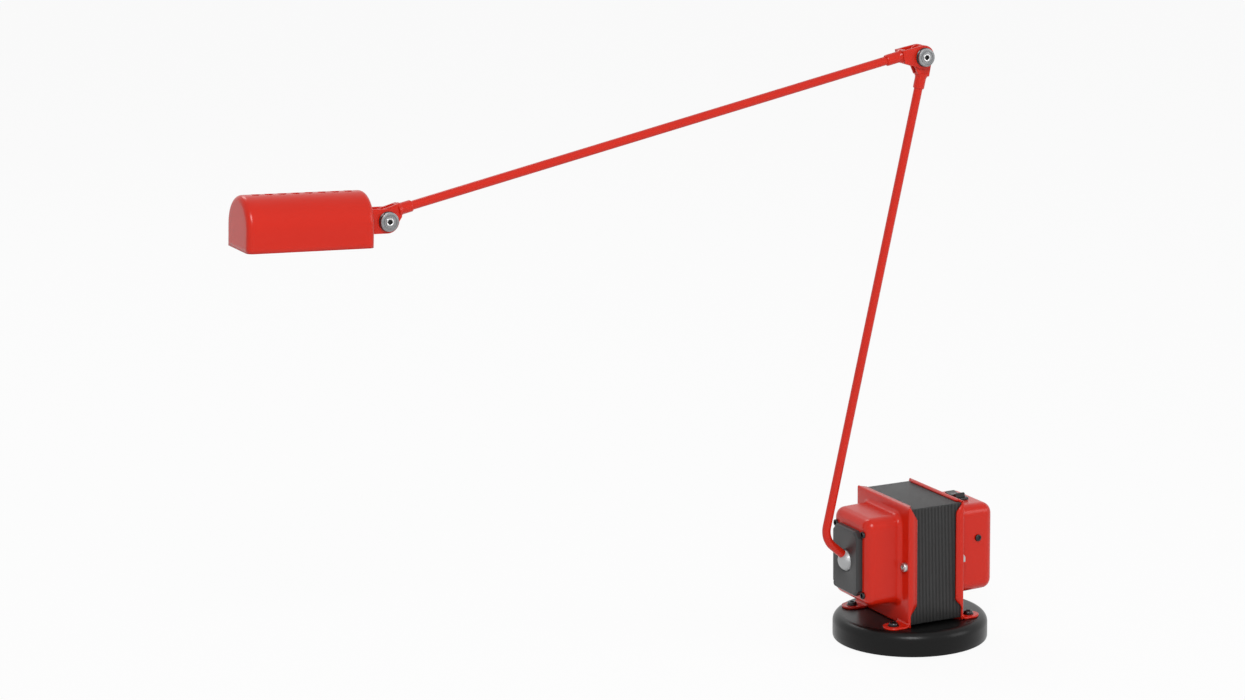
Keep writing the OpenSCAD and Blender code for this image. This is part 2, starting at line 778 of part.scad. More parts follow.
// Rubber grommet with a groove for the cover's wall; the cord's way in
module cord_grommet() {
    color("#161616") translate([0, 0, grommet_z]) difference() {
        union() {
            rod_x(grommet_r + 1.8, back_x, back_x + 2);
            rod_x(grommet_r - slip, back_x - sheet_t - eps, back_x + eps);
            rod_x(grommet_r + 1.5, back_x - sheet_t - 1.8, back_x - sheet_t);
        }
        rod_x(cord_r, back_x - sheet_t - 3, back_x + 3);
    }
}

// Round wire through a list of points; each stretch is a trace thinner than the one it comes out of
module wire(points, r) {
    for (i = [0:len(points) - 2]) {
        step = points[i + 1] - points[i];
        past = i < len(points) - 2 ? r : 0;
        translate(points[i]) rotate([0, acos(step[2] / norm(step)), atan2(step[1], step[0])])
            cylinder(r = r - 2 * eps * i, h = norm(step) + past);
    }
}

// Mains wires: from the terminal block to a switch contact and to the coil
module mains_leads() {
    x = block_c[0] - clamp_x;
    y = block_c[1];
    z = block_c[2] - 10 - mains_r;
    coil_side = coil_x1 + 1.2;
    contact_z = box_z1 - switch_drop - contact_drop - mains_r;
    color("#2f6fb0") {
        wire([[x, y, block_c[2] - 4], [x, y, z], [coil_side, y, z], [coil_side, y + 6, z]], mains_r);
        wire([[x, y, block_c[2] + 4], [x, y, contact_z],
              [switch_x + contact_dx, switch_y - contact_pitch, contact_z]], mains_r);
    }
}

// Low-voltage wires from the coil to the hole behind the ball
module lamp_leads() {
    x = -coil_x1 - lamp_r - face_gap;
    y = 1.1;
    color("#d9d9d4") for (s = [-1, 1])
        wire([[x, s * y, mid_z + leg + 8], [x, s * y, ball_z], [bridge_x - 0.5, s * y, ball_z]], lamp_r);
}

// ---------- arms ----------

// Rod along the lower arm, from the elbow's bridge round the bend and into the ball
module lower_path(r, extra) {
    start = elbow_in_reach - bridge_d;
    straight = lower_len - bend_run;
    stub = stub_len - bend_run - stub_stop;
    rod_x(r, start - extra, straight + 2 * eps);
    translate([straight, 0, bend_r]) {
        rotate([90, 0, 0]) rotate([0, 0, -90]) rotate_extrude(angle = bend_turn)
            translate([bend_r, 0]) circle(r - eps);
        rotate([0, -bend_turn, 0]) translate([0, 0, -bend_r]) rod_x(r, -2 * eps, stub + extra);
    }
}

// Local frames: the pivot is the origin and +X runs along the arm
module at_lower() {
    translate(elbow_c) rotate([0, 90 + lower_lean, 0]) children();
}

module at_upper() {
    translate(elbow_c) rotate([0, 180 - upper_droop, 0]) children();
}

module at_head_arm() {
    translate(head_c) rotate([0, -upper_droop, 0]) children();
}

module at_head() {
    translate(head_c) rotate([0, head_tilt, 0]) children();
}

module lower_tube() {
    color("#c8301f") at_lower() translate([0, 0, arm_lift]) difference() {
        lower_path(tube_r, 0);
        lower_path(bore_r, 1);
    }
}

module lower_wire() {
    color("#d9d9d4") at_lower() translate([0, 0, arm_lift]) lower_path(wire_r, -0.5);
}

module lower_fork() {
    color("#c8301f") at_lower()
        fork(elbow_in_reach, elbow_in_sleeve, in_y - cheek_t, in_y, bolt_r + run, arm_lift);
}

module elbow_discs() {
    color("#6b5a45") at_lower() friction_discs();
}

module upper_fork() {
    color("#c8301f") at_upper()
        fork(elbow_out_reach, elbow_out_sleeve, out_y0, out_y1, bolt_r + bush_wall + slip, -arm_lift);
}

module elbow_bushes() {
    color("#161616") translate(elbow_c) bushes();
}

module elbow_caps() {
    color("#a5a6a8") translate(elbow_c) caps();
}

module elbow_bolt() {
    color("#c2c3c5") translate(elbow_c) pivot_bolt();
}

module elbow_nut() {
    color("#c2c3c5") translate(elbow_c) pivot_nut();
}

// Rod along the upper arm between the two forks' bridges
module upper_path(r, extra) {
    rod_x(r, elbow_out_reach - bridge_d - extra, upper_len - head_in_reach + bridge_d + extra);
}

module upper_tube() {
    color("#c8301f") at_upper() translate([0, 0, -arm_lift]) difference() {
        upper_path(tube_r, 0);
        upper_path(bore_r, 1);
    }
}

module upper_wire() {
    color("#d9d9d4") at_upper() translate([0, 0, -arm_lift]) upper_path(wire_r, -0.5);
}

module head_fork() {
    color("#c8301f") at_head_arm()
        fork(head_in_reach, head_in_sleeve, in_y - cheek_t, in_y, bolt_r + run, arm_lift);
}

module head_discs() {
    color("#6b5a45") at_head_arm() friction_discs();
}

// ---------- head ----------

// Half-round section of the shade, seen along X: round top, straight sides down to the open edge
module arch(r, skirt) {
    intersection() {
        circle(r);
        translate([-r, -eps]) square([2 * r, r + 1]);
    }
    translate([-r, -skirt]) square([2 * r, skirt]);
}

// Arch-shaped block from x0 to x1 that ends in round edges of radius e
module arch_block(x0, x1, r, skirt, e) {
    intersection() {
        translate([x0, 0, 0]) rotate([90, 0, 90]) linear_extrude(x1 - x0) arch(r, skirt);
        union() {
            rod_x(r - e, x0, x1);
            rod_x(r + eps, x0 + e, x1 - e);
            for (x = [x0 + e, x1 - e]) translate([x, 0, 0]) rotate([0, 90, 0]) rotate_extrude()
                translate([r - e, 0]) circle(e);
            translate([0, 0, -skirt]) linear_extrude(skirt) translate([(x0 + x1) / 2, 0])
                round_rect(x1 - x0, 2 * r, e);
        }
    }
}

// Places a child at each screw that holds the bracket on the shade's end
module at_holder_screws() {
    for (s = [-1, 1]) translate([0, 0, s * holder_screw_z]) children();
}

module shade() {
    first = (shade_x0 + shade_x1) / 2 - (vent_n - 1) * vent_pitch / 2;
    color("#c8301f") at_head() difference() {
        arch_block(shade_x0, shade_x1, shade_r, shade_skirt, shade_edge_r);
        arch_block(shade_x0 + shade_wall, shade_x1 - shade_wall, shade_r - shade_wall, shade_skirt + 1,
                   shade_edge_r - shade_wall);
        for (i = [0:vent_n - 1]) translate([first + i * vent_pitch, 0, shade_r - 6])
            linear_extrude(8) round_rect(vent_size[0], vent_size[1], vent_r);
        at_holder_screws() rod_x(m3_hole, shade_x1 - 3, shade_x1 + 1);
        rod_x(lead_r + 0.3, shade_x1 - 3, shade_x1 + 1);
    }
}

// U-shaped bracket: a plate on the shade's end and two cheeks round the arm's fork
module head_bracket() {
    plate_x1 = shade_x1 + cheek_t;
    color("#c8301f") at_head() difference() {
        union() {
            translate([shade_x1, -out_y1, -cheek_r]) cube([cheek_t, 2 * out_y1, 2 * cheek_r]);
            for (s = [-1, 1]) translate([0, s * (out_y0 + out_y1) / 2, 0]) rotate([90, 0, 0])
                linear_extrude(cheek_t, center = true) {
                    circle(cheek_r);
                    translate([shade_x1, -cheek_r]) square([-shade_x1, 2 * cheek_r]);
                }
        }
        rod_y(bolt_r + bush_wall + slip, -out_y1 - 1, out_y1 + 1);
        at_holder_screws() rod_x(m3_hole, shade_x1 - 1, plate_x1 + 1);
        rod_x(lead_r + 0.3, shade_x1 - 1, plate_x1 + 1);
    }
}

module head_bushes() {
    color("#161616") at_head() bushes();
}

module head_caps() {
    color("#a5a6a8") at_head() caps();
}

module head_bolt() {
    color("#c2c3c5") at_head() pivot_bolt();
}

module head_nut() {
    color("#c2c3c5") at_head() pivot_nut();
}

// Bright sheet inside the shade; its turned-out edges clip against the shade's sides
module reflector() {
    r = reflector_r;
    low = shade_skirt - 3;
    edge = shade_r - shade_wall - slip;
    color("#dcdcdc") at_head() translate([reflector_x[0], 0, 0]) rotate([90, 0, 90])
        linear_extrude(reflector_x[1] - reflector_x[0]) {
            difference() {
                arch(r, low);
                arch(r - reflector_t, low + 1);
            }
            for (side = [-1, 1]) translate([side * (edge + r - reflector_t) / 2, reflector_t / 2 - low])
                square([edge - r + reflector_t, reflector_t], center = true);
        }
}

// Ceramic lampholder screwed to the inside of the shade's end
module lampholder() {
    size = holder_size;
    color("#efece4") at_head() difference() {
        translate([holder_x1 - size[0], -size[1] / 2, -size[2] / 2 - 1])
            cube([size[0], size[1], size[2] + 4]);
        for (s = [-1, 1]) translate([0, s * pin_gap / 2, bulb_z])
            rod_x(pin_r + 0.15, holder_x1 - size[0] - 1, holder_x1 - 5);
        at_holder_screws() rod_x(m3_r + slip, holder_x1 - 6, holder_x1 + 1);
        rod_x(lead_r + 0.3, holder_x1 - 4, holder_x1 + 1);
    }
}

module holder_screws() {
    plate_x1 = shade_x1 + cheek_t;
    color("#3a3a3c") at_head() at_holder_screws() {
        rod_x(m3_r, holder_x1 - 5, plate_x1 + eps);
        rod_x(2.2, plate_x1, plate_x1 + 1);
    }
}

// Halogen capsule: a straight quartz tube with a round nose and a flat pinched foot
module bulb() {
    x1 = holder_x1 - holder_size[0] - 0.4;
    nose = x1 - bulb_len + bulb_r;
    color("#e9eef2", 0.5) at_head() translate([0, 0, bulb_z]) {
        translate([x1 - foot_len, -5, -1.6]) cube([foot_len, 10, 3.2]);
        rod_x(bulb_r, nose, x1 - foot_len + 1);
        translate([nose, 0, 0]) sphere(bulb_r);
    }
}

module bulb_pins() {
    x1 = holder_x1 - holder_size[0];
    color("#c9c9c9") at_head() for (s = [-1, 1])
        translate([0, s * pin_gap / 2, bulb_z]) rod_x(pin_r, x1 - 0.4, x1 + 6.5);
}

// Leads that leave the arm between the cheeks and go through the shade's end
module head_leads() {
    color("#d9d9d4") at_head() rod_x(lead_r, shade_x1 - shade_wall - 3, shade_x1 + cheek_t + 1.5);
}

base_disc();
base_pad();
foot_screws();
core_e_stack();
core_i_stack();
coil_bobbin();
primary_winding();
secondary_winding();
winding_tape();
thermal_fuse();
front_cover();
back_cover();
tie_bolts();
tie_nuts();
ball_plate();
plate_nuts();
cover_screws();
seat_bracket();
cup_spring();
ball_cup();
ball();
switch_frame();
switch_rocker();
switch_contacts();
terminal_block();
terminal_screw();
cord_grommet();
mains_leads();
lamp_leads();
lower_tube();
lower_wire();
lower_fork();
elbow_discs();
upper_fork();
elbow_bushes();
elbow_caps();
elbow_bolt();
elbow_nut();
upper_tube();
upper_wire();
head_fork();
head_discs();
head_bracket();
head_bushes();
head_caps();
head_bolt();
head_nut();
shade();
reflector();
lampholder();
holder_screws();
bulb();
bulb_pins();
head_leads();
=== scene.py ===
"""Desk lamp: detailed surfaces, finishes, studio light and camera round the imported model.

Sizes are in millimetres and are turned into metres when a mesh is made. +X runs from the ball joint's cover
to the switch's cover, +Z is up, and the arms lie in the plane y = 0.
"""

import logging
import math
from dataclasses import dataclass, field
from enum import Enum

import bmesh
import bpy
import numpy as np
from mathutils import Matrix


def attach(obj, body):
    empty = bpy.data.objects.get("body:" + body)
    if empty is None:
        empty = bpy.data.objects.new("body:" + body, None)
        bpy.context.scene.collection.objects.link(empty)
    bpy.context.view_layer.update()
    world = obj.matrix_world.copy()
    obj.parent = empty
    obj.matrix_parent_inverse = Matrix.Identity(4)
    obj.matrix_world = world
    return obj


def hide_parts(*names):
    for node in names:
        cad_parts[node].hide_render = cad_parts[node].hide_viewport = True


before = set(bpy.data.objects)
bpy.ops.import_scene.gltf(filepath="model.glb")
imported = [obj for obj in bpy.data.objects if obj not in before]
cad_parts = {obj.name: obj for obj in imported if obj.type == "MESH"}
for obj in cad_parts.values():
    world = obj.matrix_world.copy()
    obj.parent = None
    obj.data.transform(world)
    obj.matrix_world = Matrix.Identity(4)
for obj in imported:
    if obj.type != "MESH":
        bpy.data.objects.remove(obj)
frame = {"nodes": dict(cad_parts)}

logging.basicConfig(level=logging.INFO, format="%(name)s: %(message)s")
log = logging.getLogger("lamp")

MM = 0.001
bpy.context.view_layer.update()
Array = np.ndarray
Triple = tuple[float, float, float]
MIRROR = np.array([1.0, -1.0, 1.0])  # carries the +Y side to the -Y side


# ---------- curves and surfaces as whole arrays ----------


def turn_y(degrees: float, at: Triple = (0.0, 0.0, 0.0)) -> Array:
    """Matrix that turns about +Y by the right-hand rule and then moves the origin to a point.

    Args:
        degrees: Angle of the turn.
        at: Where the origin goes, in mm.

    Returns:
        A 4 by 4 array.
    """
    c, s = math.cos(math.radians(degrees)), math.sin(math.radians(degrees))
    return np.array([[c, 0, s, at[0]], [0, 1, 0, at[1]], [-s, 0, c, at[2]], [0, 0, 0, 1]], float)


def placed(points: Array, matrix: Array) -> Array:
    """Points of any grid, last axis x, y, z, carried by a 4 by 4 matrix."""
    return points @ matrix[:3, :3].T + matrix[:3, 3]


def along_x(points: Array, sign: int = 1) -> Array:
    """A shape made along +Z laid along +X, or mirrored towards -X for sign -1."""
    return points[..., [2, 0, 1]] * np.array([sign, 1.0, 1.0])


def along_y(points: Array, sign: int = 1) -> Array:
    """A shape made along +Z laid along +Y, or mirrored towards -Y for sign -1."""
    return points[..., [0, 2, 1]] * np.array([1.0, sign, 1.0])


def unit(vectors: Array) -> Array:
    """Vectors of any grid divided by their lengths."""
    return vectors / np.linalg.norm(vectors, axis=-1, keepdims=True)


def circle(radius: float, count: int) -> Array:
    """Circle as (count, 2): radius times (cos t, sin t) with t evenly spaced."""
    t = np.arange(count) * 2 * np.pi / count
    return radius * np.stack([np.cos(t), np.sin(t)], 1)


def hexagon(count: int) -> Array:
    """Hexagon of apothem 1 as (count, 2): at each angle the radius is 1 / cos of the angle to the flat."""
    t = np.arange(count) * 2 * np.pi / count
    off = np.mod(t, np.pi / 3) - np.pi / 6
    return circle(1.0, count) / np.cos(off)[:, None]


def left_normals(corners: Array) -> Array:
    """Unit normal to the left of each side of a closed polygon."""
    ahead = unit(np.roll(corners, -1, 0) - corners)
    return np.stack([-ahead[:, 1], ahead[:, 0]], 1)


def shifted_polygon(corners: Array, inset: float) -> Array:
    """Convex anticlockwise polygon with its sides moved inwards; each corner is where two sides meet."""
    inward = left_normals(corners)
    bisector = inward + np.roll(inward, 1, 0)
    return corners + inset * bisector * (2 / np.sum(bisector**2, 1, keepdims=True))


def rounded(corners: Array, radius: float, arc: int = 6, side: int = 4, inset: float = 0.0) -> Array:
    """Convex polygon with round corners, every loop of the same polygon having the same number of points.

    Each corner becomes an arc from one side's normal to the next, and each side is divided evenly.

    Args:
        corners: Anticlockwise corners, (n, 2).
        radius: Corner radius after the inset, in mm.
        arc: Steps in each corner.
        side: Steps in each side.
        inset: How far the sides are moved inwards.

    Returns:
        (n * (arc + side), 2) points.
    """
    poly = shifted_polygon(corners, inset)
    core = shifted_polygon(poly, radius)
    out_next = -left_normals(poly)
    out_prev = np.roll(out_next, 1, 0)
    a0 = np.arctan2(out_prev[:, 1], out_prev[:, 0])
    turn = np.mod(np.arctan2(out_next[:, 1], out_next[:, 0]) - a0, 2 * np.pi)
    t = a0[:, None] + turn[:, None] * np.linspace(0, 1, arc + 1)[None, :]
    bend = core[:, None, :] + radius * np.stack([np.cos(t), np.sin(t)], 2)
    start, stop = bend[:, -1], np.roll(bend[:, 0], -1, 0)
    f = np.linspace(0, 1, side + 1)[1:-1]
    line = start[:, None, :] + (stop - start)[:, None, :] * f[None, :, None]
    return np.concatenate([bend, line], 1).reshape(-1, 2)


def half_round(radius: float) -> Array:
    """Half circle from -90 to 90 degrees, (24, 2)."""
    t = np.radians(np.linspace(-90, 90, 24))
    return radius * np.stack([np.cos(t), np.sin(t)], 1)


def rectangle(width: float, height: float, centre: tuple[float, float] = (0.0, 0.0)) -> Array:
    """Anticlockwise corners of a rectangle."""
    x, y = width / 2, height / 2
    return np.array([[-x, -y], [x, -y], [x, y], [-x, y]], float) + np.array(centre, float)


def stacked(loops: list[Array], heights: list[float]) -> Array:
    """Plane loops (n, 2) put one over another at the given heights: (k, n, 3)."""
    tall = np.broadcast_to(np.array(heights, float)[:, None, None], (len(loops), len(loops[0]), 1))
    return np.concatenate([np.stack(loops), tall], 2)


def quarter(steps: int = 3) -> tuple[Array, Array]:
    """Sine and 1 - cosine of a quarter turn: how a rounded edge of radius 1 rises and draws in."""
    t = np.linspace(0, np.pi / 2, steps + 1)
    return np.sin(t), 1 - np.cos(t)


LEAST_RADIUS = 0.02


def slab(corners: Array, radius: float, low: float, high: float, edge: float, hole: float = 0.0,
         centre: tuple[float, float] = (0.0, 0.0)) -> Array:
    """Plate with a polygon outline, rounded edges and, if asked, a round hole.

    The outline is carried up the side, drawn in by 1 - cos over each rounded edge, and closed on the middle
    or on the hole's circle, whose points keep the outline's polar angles.

    Args:
        corners: Anticlockwise outline.
        radius: Radius of its corners.
        low: Height of the underside.
        high: Height of the top.
        edge: Radius of the edges between side and faces.
        hole: Radius of the hole, 0 for none.
        centre: Middle of the faces, and of the hole.

    Returns:
        A closed stack of loops, (k, n, 3).
    """
    rise, draw = quarter()
    outer = [rounded(corners, max(radius - edge * d, LEAST_RADIUS), inset=edge * d) for d in draw]
    middle = np.array(centre, float)
    inner = middle + unit(outer[0] - middle) * hole
    loops = [inner] + outer[::-1] + outer + [inner]
    heights = [low, *(low + edge * (1 - rise[::-1])), *(high - edge * (1 - rise)), high]
    if hole:
        loops, heights = loops + [inner], heights + [low]
    return stacked(loops, heights)


def lathed(profile: Array, count: int = 64) -> Array:
    """Profile of (radius, height) carried round the Z axis: (r cos t, r sin t, z) for evenly spaced t."""
    ring = circle(1.0, count)
    return stacked([ring * r for r in profile[:, 0]], list(profile[:, 1]))


def piped(path: Array, radius: float, count: int = 32) -> Array:
    """Tube round a path in the plane y = 0: each point plus radius times (cos t normal + sin t +Y)."""
    ahead = unit(np.gradient(path, axis=0))
    side = np.stack([ahead[:, 2], 0 * ahead[:, 0], -ahead[:, 0]], 1)
    ring = circle(1.0, count)
    return path[:, None, :] + radius * (ring[None, :, :1] * side[:, None, :]
                                        + ring[None, :, 1:] * np.array([0.0, 1.0, 0.0]))


HEAD_COUNT = 48
COUNTERSINK = 1.28  # rim of a socket over its apothem


def socket_head(radius: float, height: float, bevel: float, key: float, depth: float) -> Array:
    """Round head with a hexagon socket, from z = 0 up.

    Circles climb the side and the bevel; past a countersink, hexagons go down into the socket.

    Args:
        radius: Radius of the head.
        height: Height of the head.
        bevel: Radius of its upper edge.
        key: Apothem of the socket.
        depth: Depth of the socket.

    Returns:
        A closed stack of loops.
    """
    rise, draw = quarter()
    ring, hexa = circle(1.0, HEAD_COUNT), hexagon(HEAD_COUNT)
    loops = [ring * 0, ring * radius] + [ring * (radius - bevel * d) for d in draw]
    heights = [0.0, 0.0] + list(height - bevel * (1 - rise))
    loops += [ring * (key * COUNTERSINK), hexa * key, hexa * key * 0.97, ring * 0]
    heights += [height, height - 0.25, height - depth, height - depth * 1.1]
    return stacked(loops, heights)


# ---------- mesh making ----------


def shown(name: str, data: bpy.types.ID) -> bpy.types.Object:
    """A new object in the scene."""
    thing = bpy.data.objects.new(name, data)
    bpy.context.scene.collection.objects.link(thing)
    return thing


def quads(rows: int, columns: int, closed: bool) -> Array:
    """Corner numbers of the faces of a grid, (faces, 4), round the last column too if closed."""
    r = np.arange(rows - 1)[:, None] * columns
    c = np.arange(columns if closed else columns - 1)[None, :]
    n = (c + 1) % columns
    return np.stack([r + c, r + n, r + columns + n, r + columns + c], 2).reshape(-1, 4)


@dataclass(frozen=True)
class Grid:
    """A surface as a grid of points; closed means that its columns run round into a ring."""

    points: Array
    closed: bool = True


@dataclass
class Piece:
    """A visible piece that stands for CAD nodes and rides on their body."""

    name: str
    body: str
    nodes: tuple[str, ...]
    slot: str
    finish: "Finish"
    grids: list[Grid] = field(default_factory=list)
    wall: float = 0.0
    sharp: float = 38.0

    def add(self, *points: Array, closed: bool = True) -> "Piece":
        """Adds surfaces, each (rows, columns, 3) in mm."""
        self.grids += [Grid(p, closed) for p in points]
        return self

    def make(self) -> None:
        """Puts the arrays into one closed mesh, rides it on its body and hides the nodes it stands for."""
        verts, faces, count = [], [], 0
        for grid in self.grids:
            rows, columns = grid.points.shape[:2]
            verts.append(grid.points.reshape(-1, 3))
            faces.append(quads(rows, columns, grid.closed) + count)
            count += rows * columns
        mesh = bpy.data.meshes.new(self.name)
        mesh.from_pydata((np.concatenate(verts) * MM).tolist(), [], np.concatenate(faces).tolist())
        tidy_mesh(mesh, self.sharp)
        piece = shown(self.name, mesh)
        if self.wall:
            shell = piece.modifiers.new("wall", "SOLIDIFY")
            shell.thickness = self.wall * MM
            shell.offset = -1.0
            shell.use_even_offset = True
        mesh.materials.append(self.finish.material())
        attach(piece, self.body)
        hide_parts(*self.nodes)
        log.info("%s: %d faces on %s", self.name, len(mesh.polygons), self.body)


MERGE = 2e-6  # metres under which two points are one
NO_EDGE = 1e-7  # metres under which an edge is none


def tidy_mesh(mesh: bpy.types.Mesh, sharp: float) -> None:
    """Merges doubles, drops faces with no area, turns the normals outwards and sets the sharp edges.

    Args:
        mesh: The mesh, in metres.
        sharp: Edges that turn by more than this many degrees stay sharp.
    """
    shape = bmesh.new()
    shape.from_mesh(mesh)
    bmesh.ops.remove_doubles(shape, verts=shape.verts, dist=MERGE)
    bmesh.ops.dissolve_degenerate(shape, edges=shape.edges, dist=NO_EDGE)
    bmesh.ops.recalc_face_normals(shape, faces=shape.faces)
    shape.to_mesh(mesh)
    shape.free()
    mesh.shade_smooth()
    mesh.set_sharp_from_angle(angle=math.radians(sharp))


# ---------- shader expressions and finishes ----------


class Socket:
    """A shader value that can be written in Python expressions; each operator adds one Math node."""

    def __init__(self, nodes: "Nodes", out: bpy.types.NodeSocket) -> None:
        """Wraps an output socket."""
        self.nodes, self.out = nodes, out

    def _math(self, operation: str, first: object, second: object) -> "Socket":
        """Adds a Math node with two inputs."""
        return self.nodes.make("ShaderNodeMath", {"operation": operation}, {0: first, 1: second})

    def __add__(self, other: object) -> "Socket":
        """self + other."""
        return self._math("ADD", self, other)

    __radd__ = __add__

    def __mul__(self, other: object) -> "Socket":
        """self * other."""
        return self._math("MULTIPLY", self, other)

    __rmul__ = __mul__

    def __sub__(self, other: object) -> "Socket":
        """self - other."""
        return self._math("SUBTRACT", self, other)

    def __rsub__(self, other: object) -> "Socket":
        """other - self."""
        return self._math("SUBTRACT", other, self)


class Nodes:
    """The node tree of a material or a world, with one method that makes any node."""

    def __init__(self, owner: bpy.types.Material | bpy.types.World) -> None:
        """Turns the owner's nodes on."""
        owner.use_nodes = True
        self.owner, self.tree = owner, owner.node_tree

    def find(self, *kinds: str) -> bpy.types.Node:
        """The first node of one of the kinds."""
        return next(n for n in self.tree.nodes if n.type in kinds)

    def make(self, kind: str, settings: dict[str, object], inputs: dict[object, object],
             out: object = 0) -> Socket:
        """Adds a node, sets its settings first and then the values or links of its sockets.

        Args:
            kind: The node's type.
            settings: Attributes, or "ramp": a list of (position, grey) stops.
            inputs: Socket name or number to a number, tuple or Socket.
            out: The output that is wanted.

        Returns:
            The wrapped output.
        """
        node = self.tree.nodes.new(kind)
        for key, value in settings.items():
            if key == "ramp":
                ramp = node.color_ramp
                for k, (place, grey) in enumerate(value):
                    stop = ramp.elements[k] if k < 2 else ramp.elements.new(place)
                    stop.position, stop.color = place, (grey, grey, grey, 1.0)
            else:
                setattr(node, key, value)
        for key, value in inputs.items():
            self.join(node.inputs[key], value)
        return Socket(self, node.outputs[out])

    def join(self, target: bpy.types.NodeSocket, value: object) -> None:
        """Links a Socket to an input, or sets the input's own value."""
        if isinstance(value, Socket):
            self.tree.links.new(value.out, target)
        elif target.type == "RGBA":
            target.default_value = (*value, 1.0)
        else:
            target.default_value = value

    def spot(self) -> Socket:
        """Object coordinates."""
        return self.make("ShaderNodeTexCoord", {}, {}, "Object")

    def axis(self, name: str) -> Socket:
        """One object coordinate, in metres."""
        return self.make("ShaderNodeSeparateXYZ", {}, {0: self.spot()}, name)

    def maths(self, operation: str, value: Socket) -> Socket:
        """A Math node with one input."""
        return self.make("ShaderNodeMath", {"operation": operation}, {0: value})

    def placed(self, scale: Triple = (1.0, 1.0, 1.0), centre: Triple = (0.0, 0.0, 0.0)) -> Socket:
        """Object coordinates, stretched along the axes or centred on a point in mm."""
        shift = tuple(0.0 - c * MM for c in centre)
        return self.make("ShaderNodeMapping", {}, {"Vector": self.spot(), "Scale": scale, "Location": shift})

    def noise(self, scale: float, detail: float = 2.0, spot: Socket | None = None) -> Socket:
        """Smooth noise from 0 to 1 with features of about 1 / scale metres."""
        where = spot or self.placed()
        return self.make("ShaderNodeTexNoise", {}, {"Vector": where, "Scale": scale, "Detail": detail}, "Fac")

    def blend(self, amount: object, low: object, high: object) -> Socket:
        """Colour that goes from low to high as amount goes from 0 to 1."""
        return self.make("ShaderNodeMix", {"data_type": "RGBA"}, {0: amount, 6: low, 7: high}, 2)

    def steps(self, value: Socket, stops: list[tuple[float, float]]) -> Socket:
        """A value remapped through a ramp of grey stops."""
        return self.make("ShaderNodeValToRGB", {"ramp": stops}, {"Fac": value})

    def bumped(self, height: Socket, strength: float, distance: float) -> None:
        """Feeds a height to the shader's normal; distance is in metres."""
        self.set(normal=self.make(
            "ShaderNodeBump", {}, {"Strength": strength, "Distance": distance, "Height": height}))

    def set(self, **values: object) -> None:
        """Sets or links the Principled shader's own sockets; base_color stands for Base Color."""
        sockets = self.find("BSDF_PRINCIPLED").inputs
        for key, value in values.items():
            self.join(sockets[key.replace("_", " ").title().replace("Ior", "IOR")], value)

    def seen(self) -> Socket:
        """1 or more for a ray straight from the camera or by way of a mirror or glass, otherwise 0."""
        camera, mirror, glass = (self.make("ShaderNodeLightPath", {}, {}, f"Is {kind} Ray")
                                 for kind in ("Camera", "Glossy", "Transmission"))
        return camera + mirror + glass

    def show(self, surface: Socket) -> None:
        """Links a shader to the tree's output."""
        self.join(self.find("OUTPUT_MATERIAL", "OUTPUT_WORLD").inputs["Surface"], surface)


WHITE = (1.0, 1.0, 1.0)
MADE: dict[str, bpy.types.Material] = {}


def per_pitch(pitch: float) -> float:
    """Radians a metre of a wave that repeats every pitch mm."""
    return 2 * math.pi / (pitch * MM)


def lighter(colour: Triple, by: float) -> Triple:
    """A colour multiplied by a number and kept within 0 and 1."""
    return tuple(min(max(c * by, 0.0), 1.0) for c in colour)


@dataclass(frozen=True)
class Finish:
    """A named surface finish; material() makes it once and then hands out the same one."""

    name: str
    colour: Triple
    roughness: float = 0.4
    specular: float = 0.5

    def material(self) -> bpy.types.Material:
        """The finish's material."""
        if self.name not in MADE:
            n = Nodes(bpy.data.materials.new(self.name + "_finish"))
            n.set(specular_ior_level=self.specular)
            self.dress(n)
            MADE[self.name] = n.owner
        return MADE[self.name]

    def dress(self, n: Nodes) -> None:
        """Lays the finish's nodes; each kind of finish has its own."""
        raise NotImplementedError

    def tones(self, n: Nodes, amount: Socket, low: float, high: float) -> Socket:
        """The colour from low to high times itself as amount goes from 0 to 1."""
        return n.blend(amount, lighter(self.colour, low), lighter(self.colour, high))

    def gloss(self, amount: Socket, spread: float) -> Socket:
        """The roughness, less half the spread where amount is 0 and more by half of it where it is 1."""
        return self.roughness - spread / 2 + amount * spread


@dataclass(frozen=True)
class Paint(Finish):
    """Baked paint: fine orange peel, a slightly uneven gloss and a little dust in the tone."""

    peel: float = 0.12
    grain: float = 900.0

    def dress(self, n: Nodes) -> None:
        """Colour with faint clouds, gloss with faint smears, and orange peel as bump."""
        cloud, smear, peel = n.noise(14.0, 2.0), n.noise(45.0, 4.0), n.noise(self.grain, 3.0)
        n.set(base_color=self.tones(n, cloud, 0.93, 1.06), roughness=self.gloss(smear, 0.1))
        n.bumped(peel, self.peel, 0.0004)


@dataclass(frozen=True)
class Metal(Finish):
    """Bare or plated metal: tone and gloss vary a little, and tool marks or blasting show as bump."""

    mark_scale: Triple = (1.0, 1.0, 1.0)
    grain: float = 700.0
    bump: float = 0.15
    metallic: float = 1.0

    def dress(self, n: Nodes) -> None:
        """Metal with stretched marks."""
        marks, stain = n.noise(self.grain, 3.0, n.placed(self.mark_scale)), n.noise(80.0, 4.0)
        n.set(metallic=self.metallic, roughness=self.gloss(marks, 0.16),
              base_color=self.tones(n, stain, 0.8, 1.12))
        n.bumped(marks, self.bump, 0.0003)


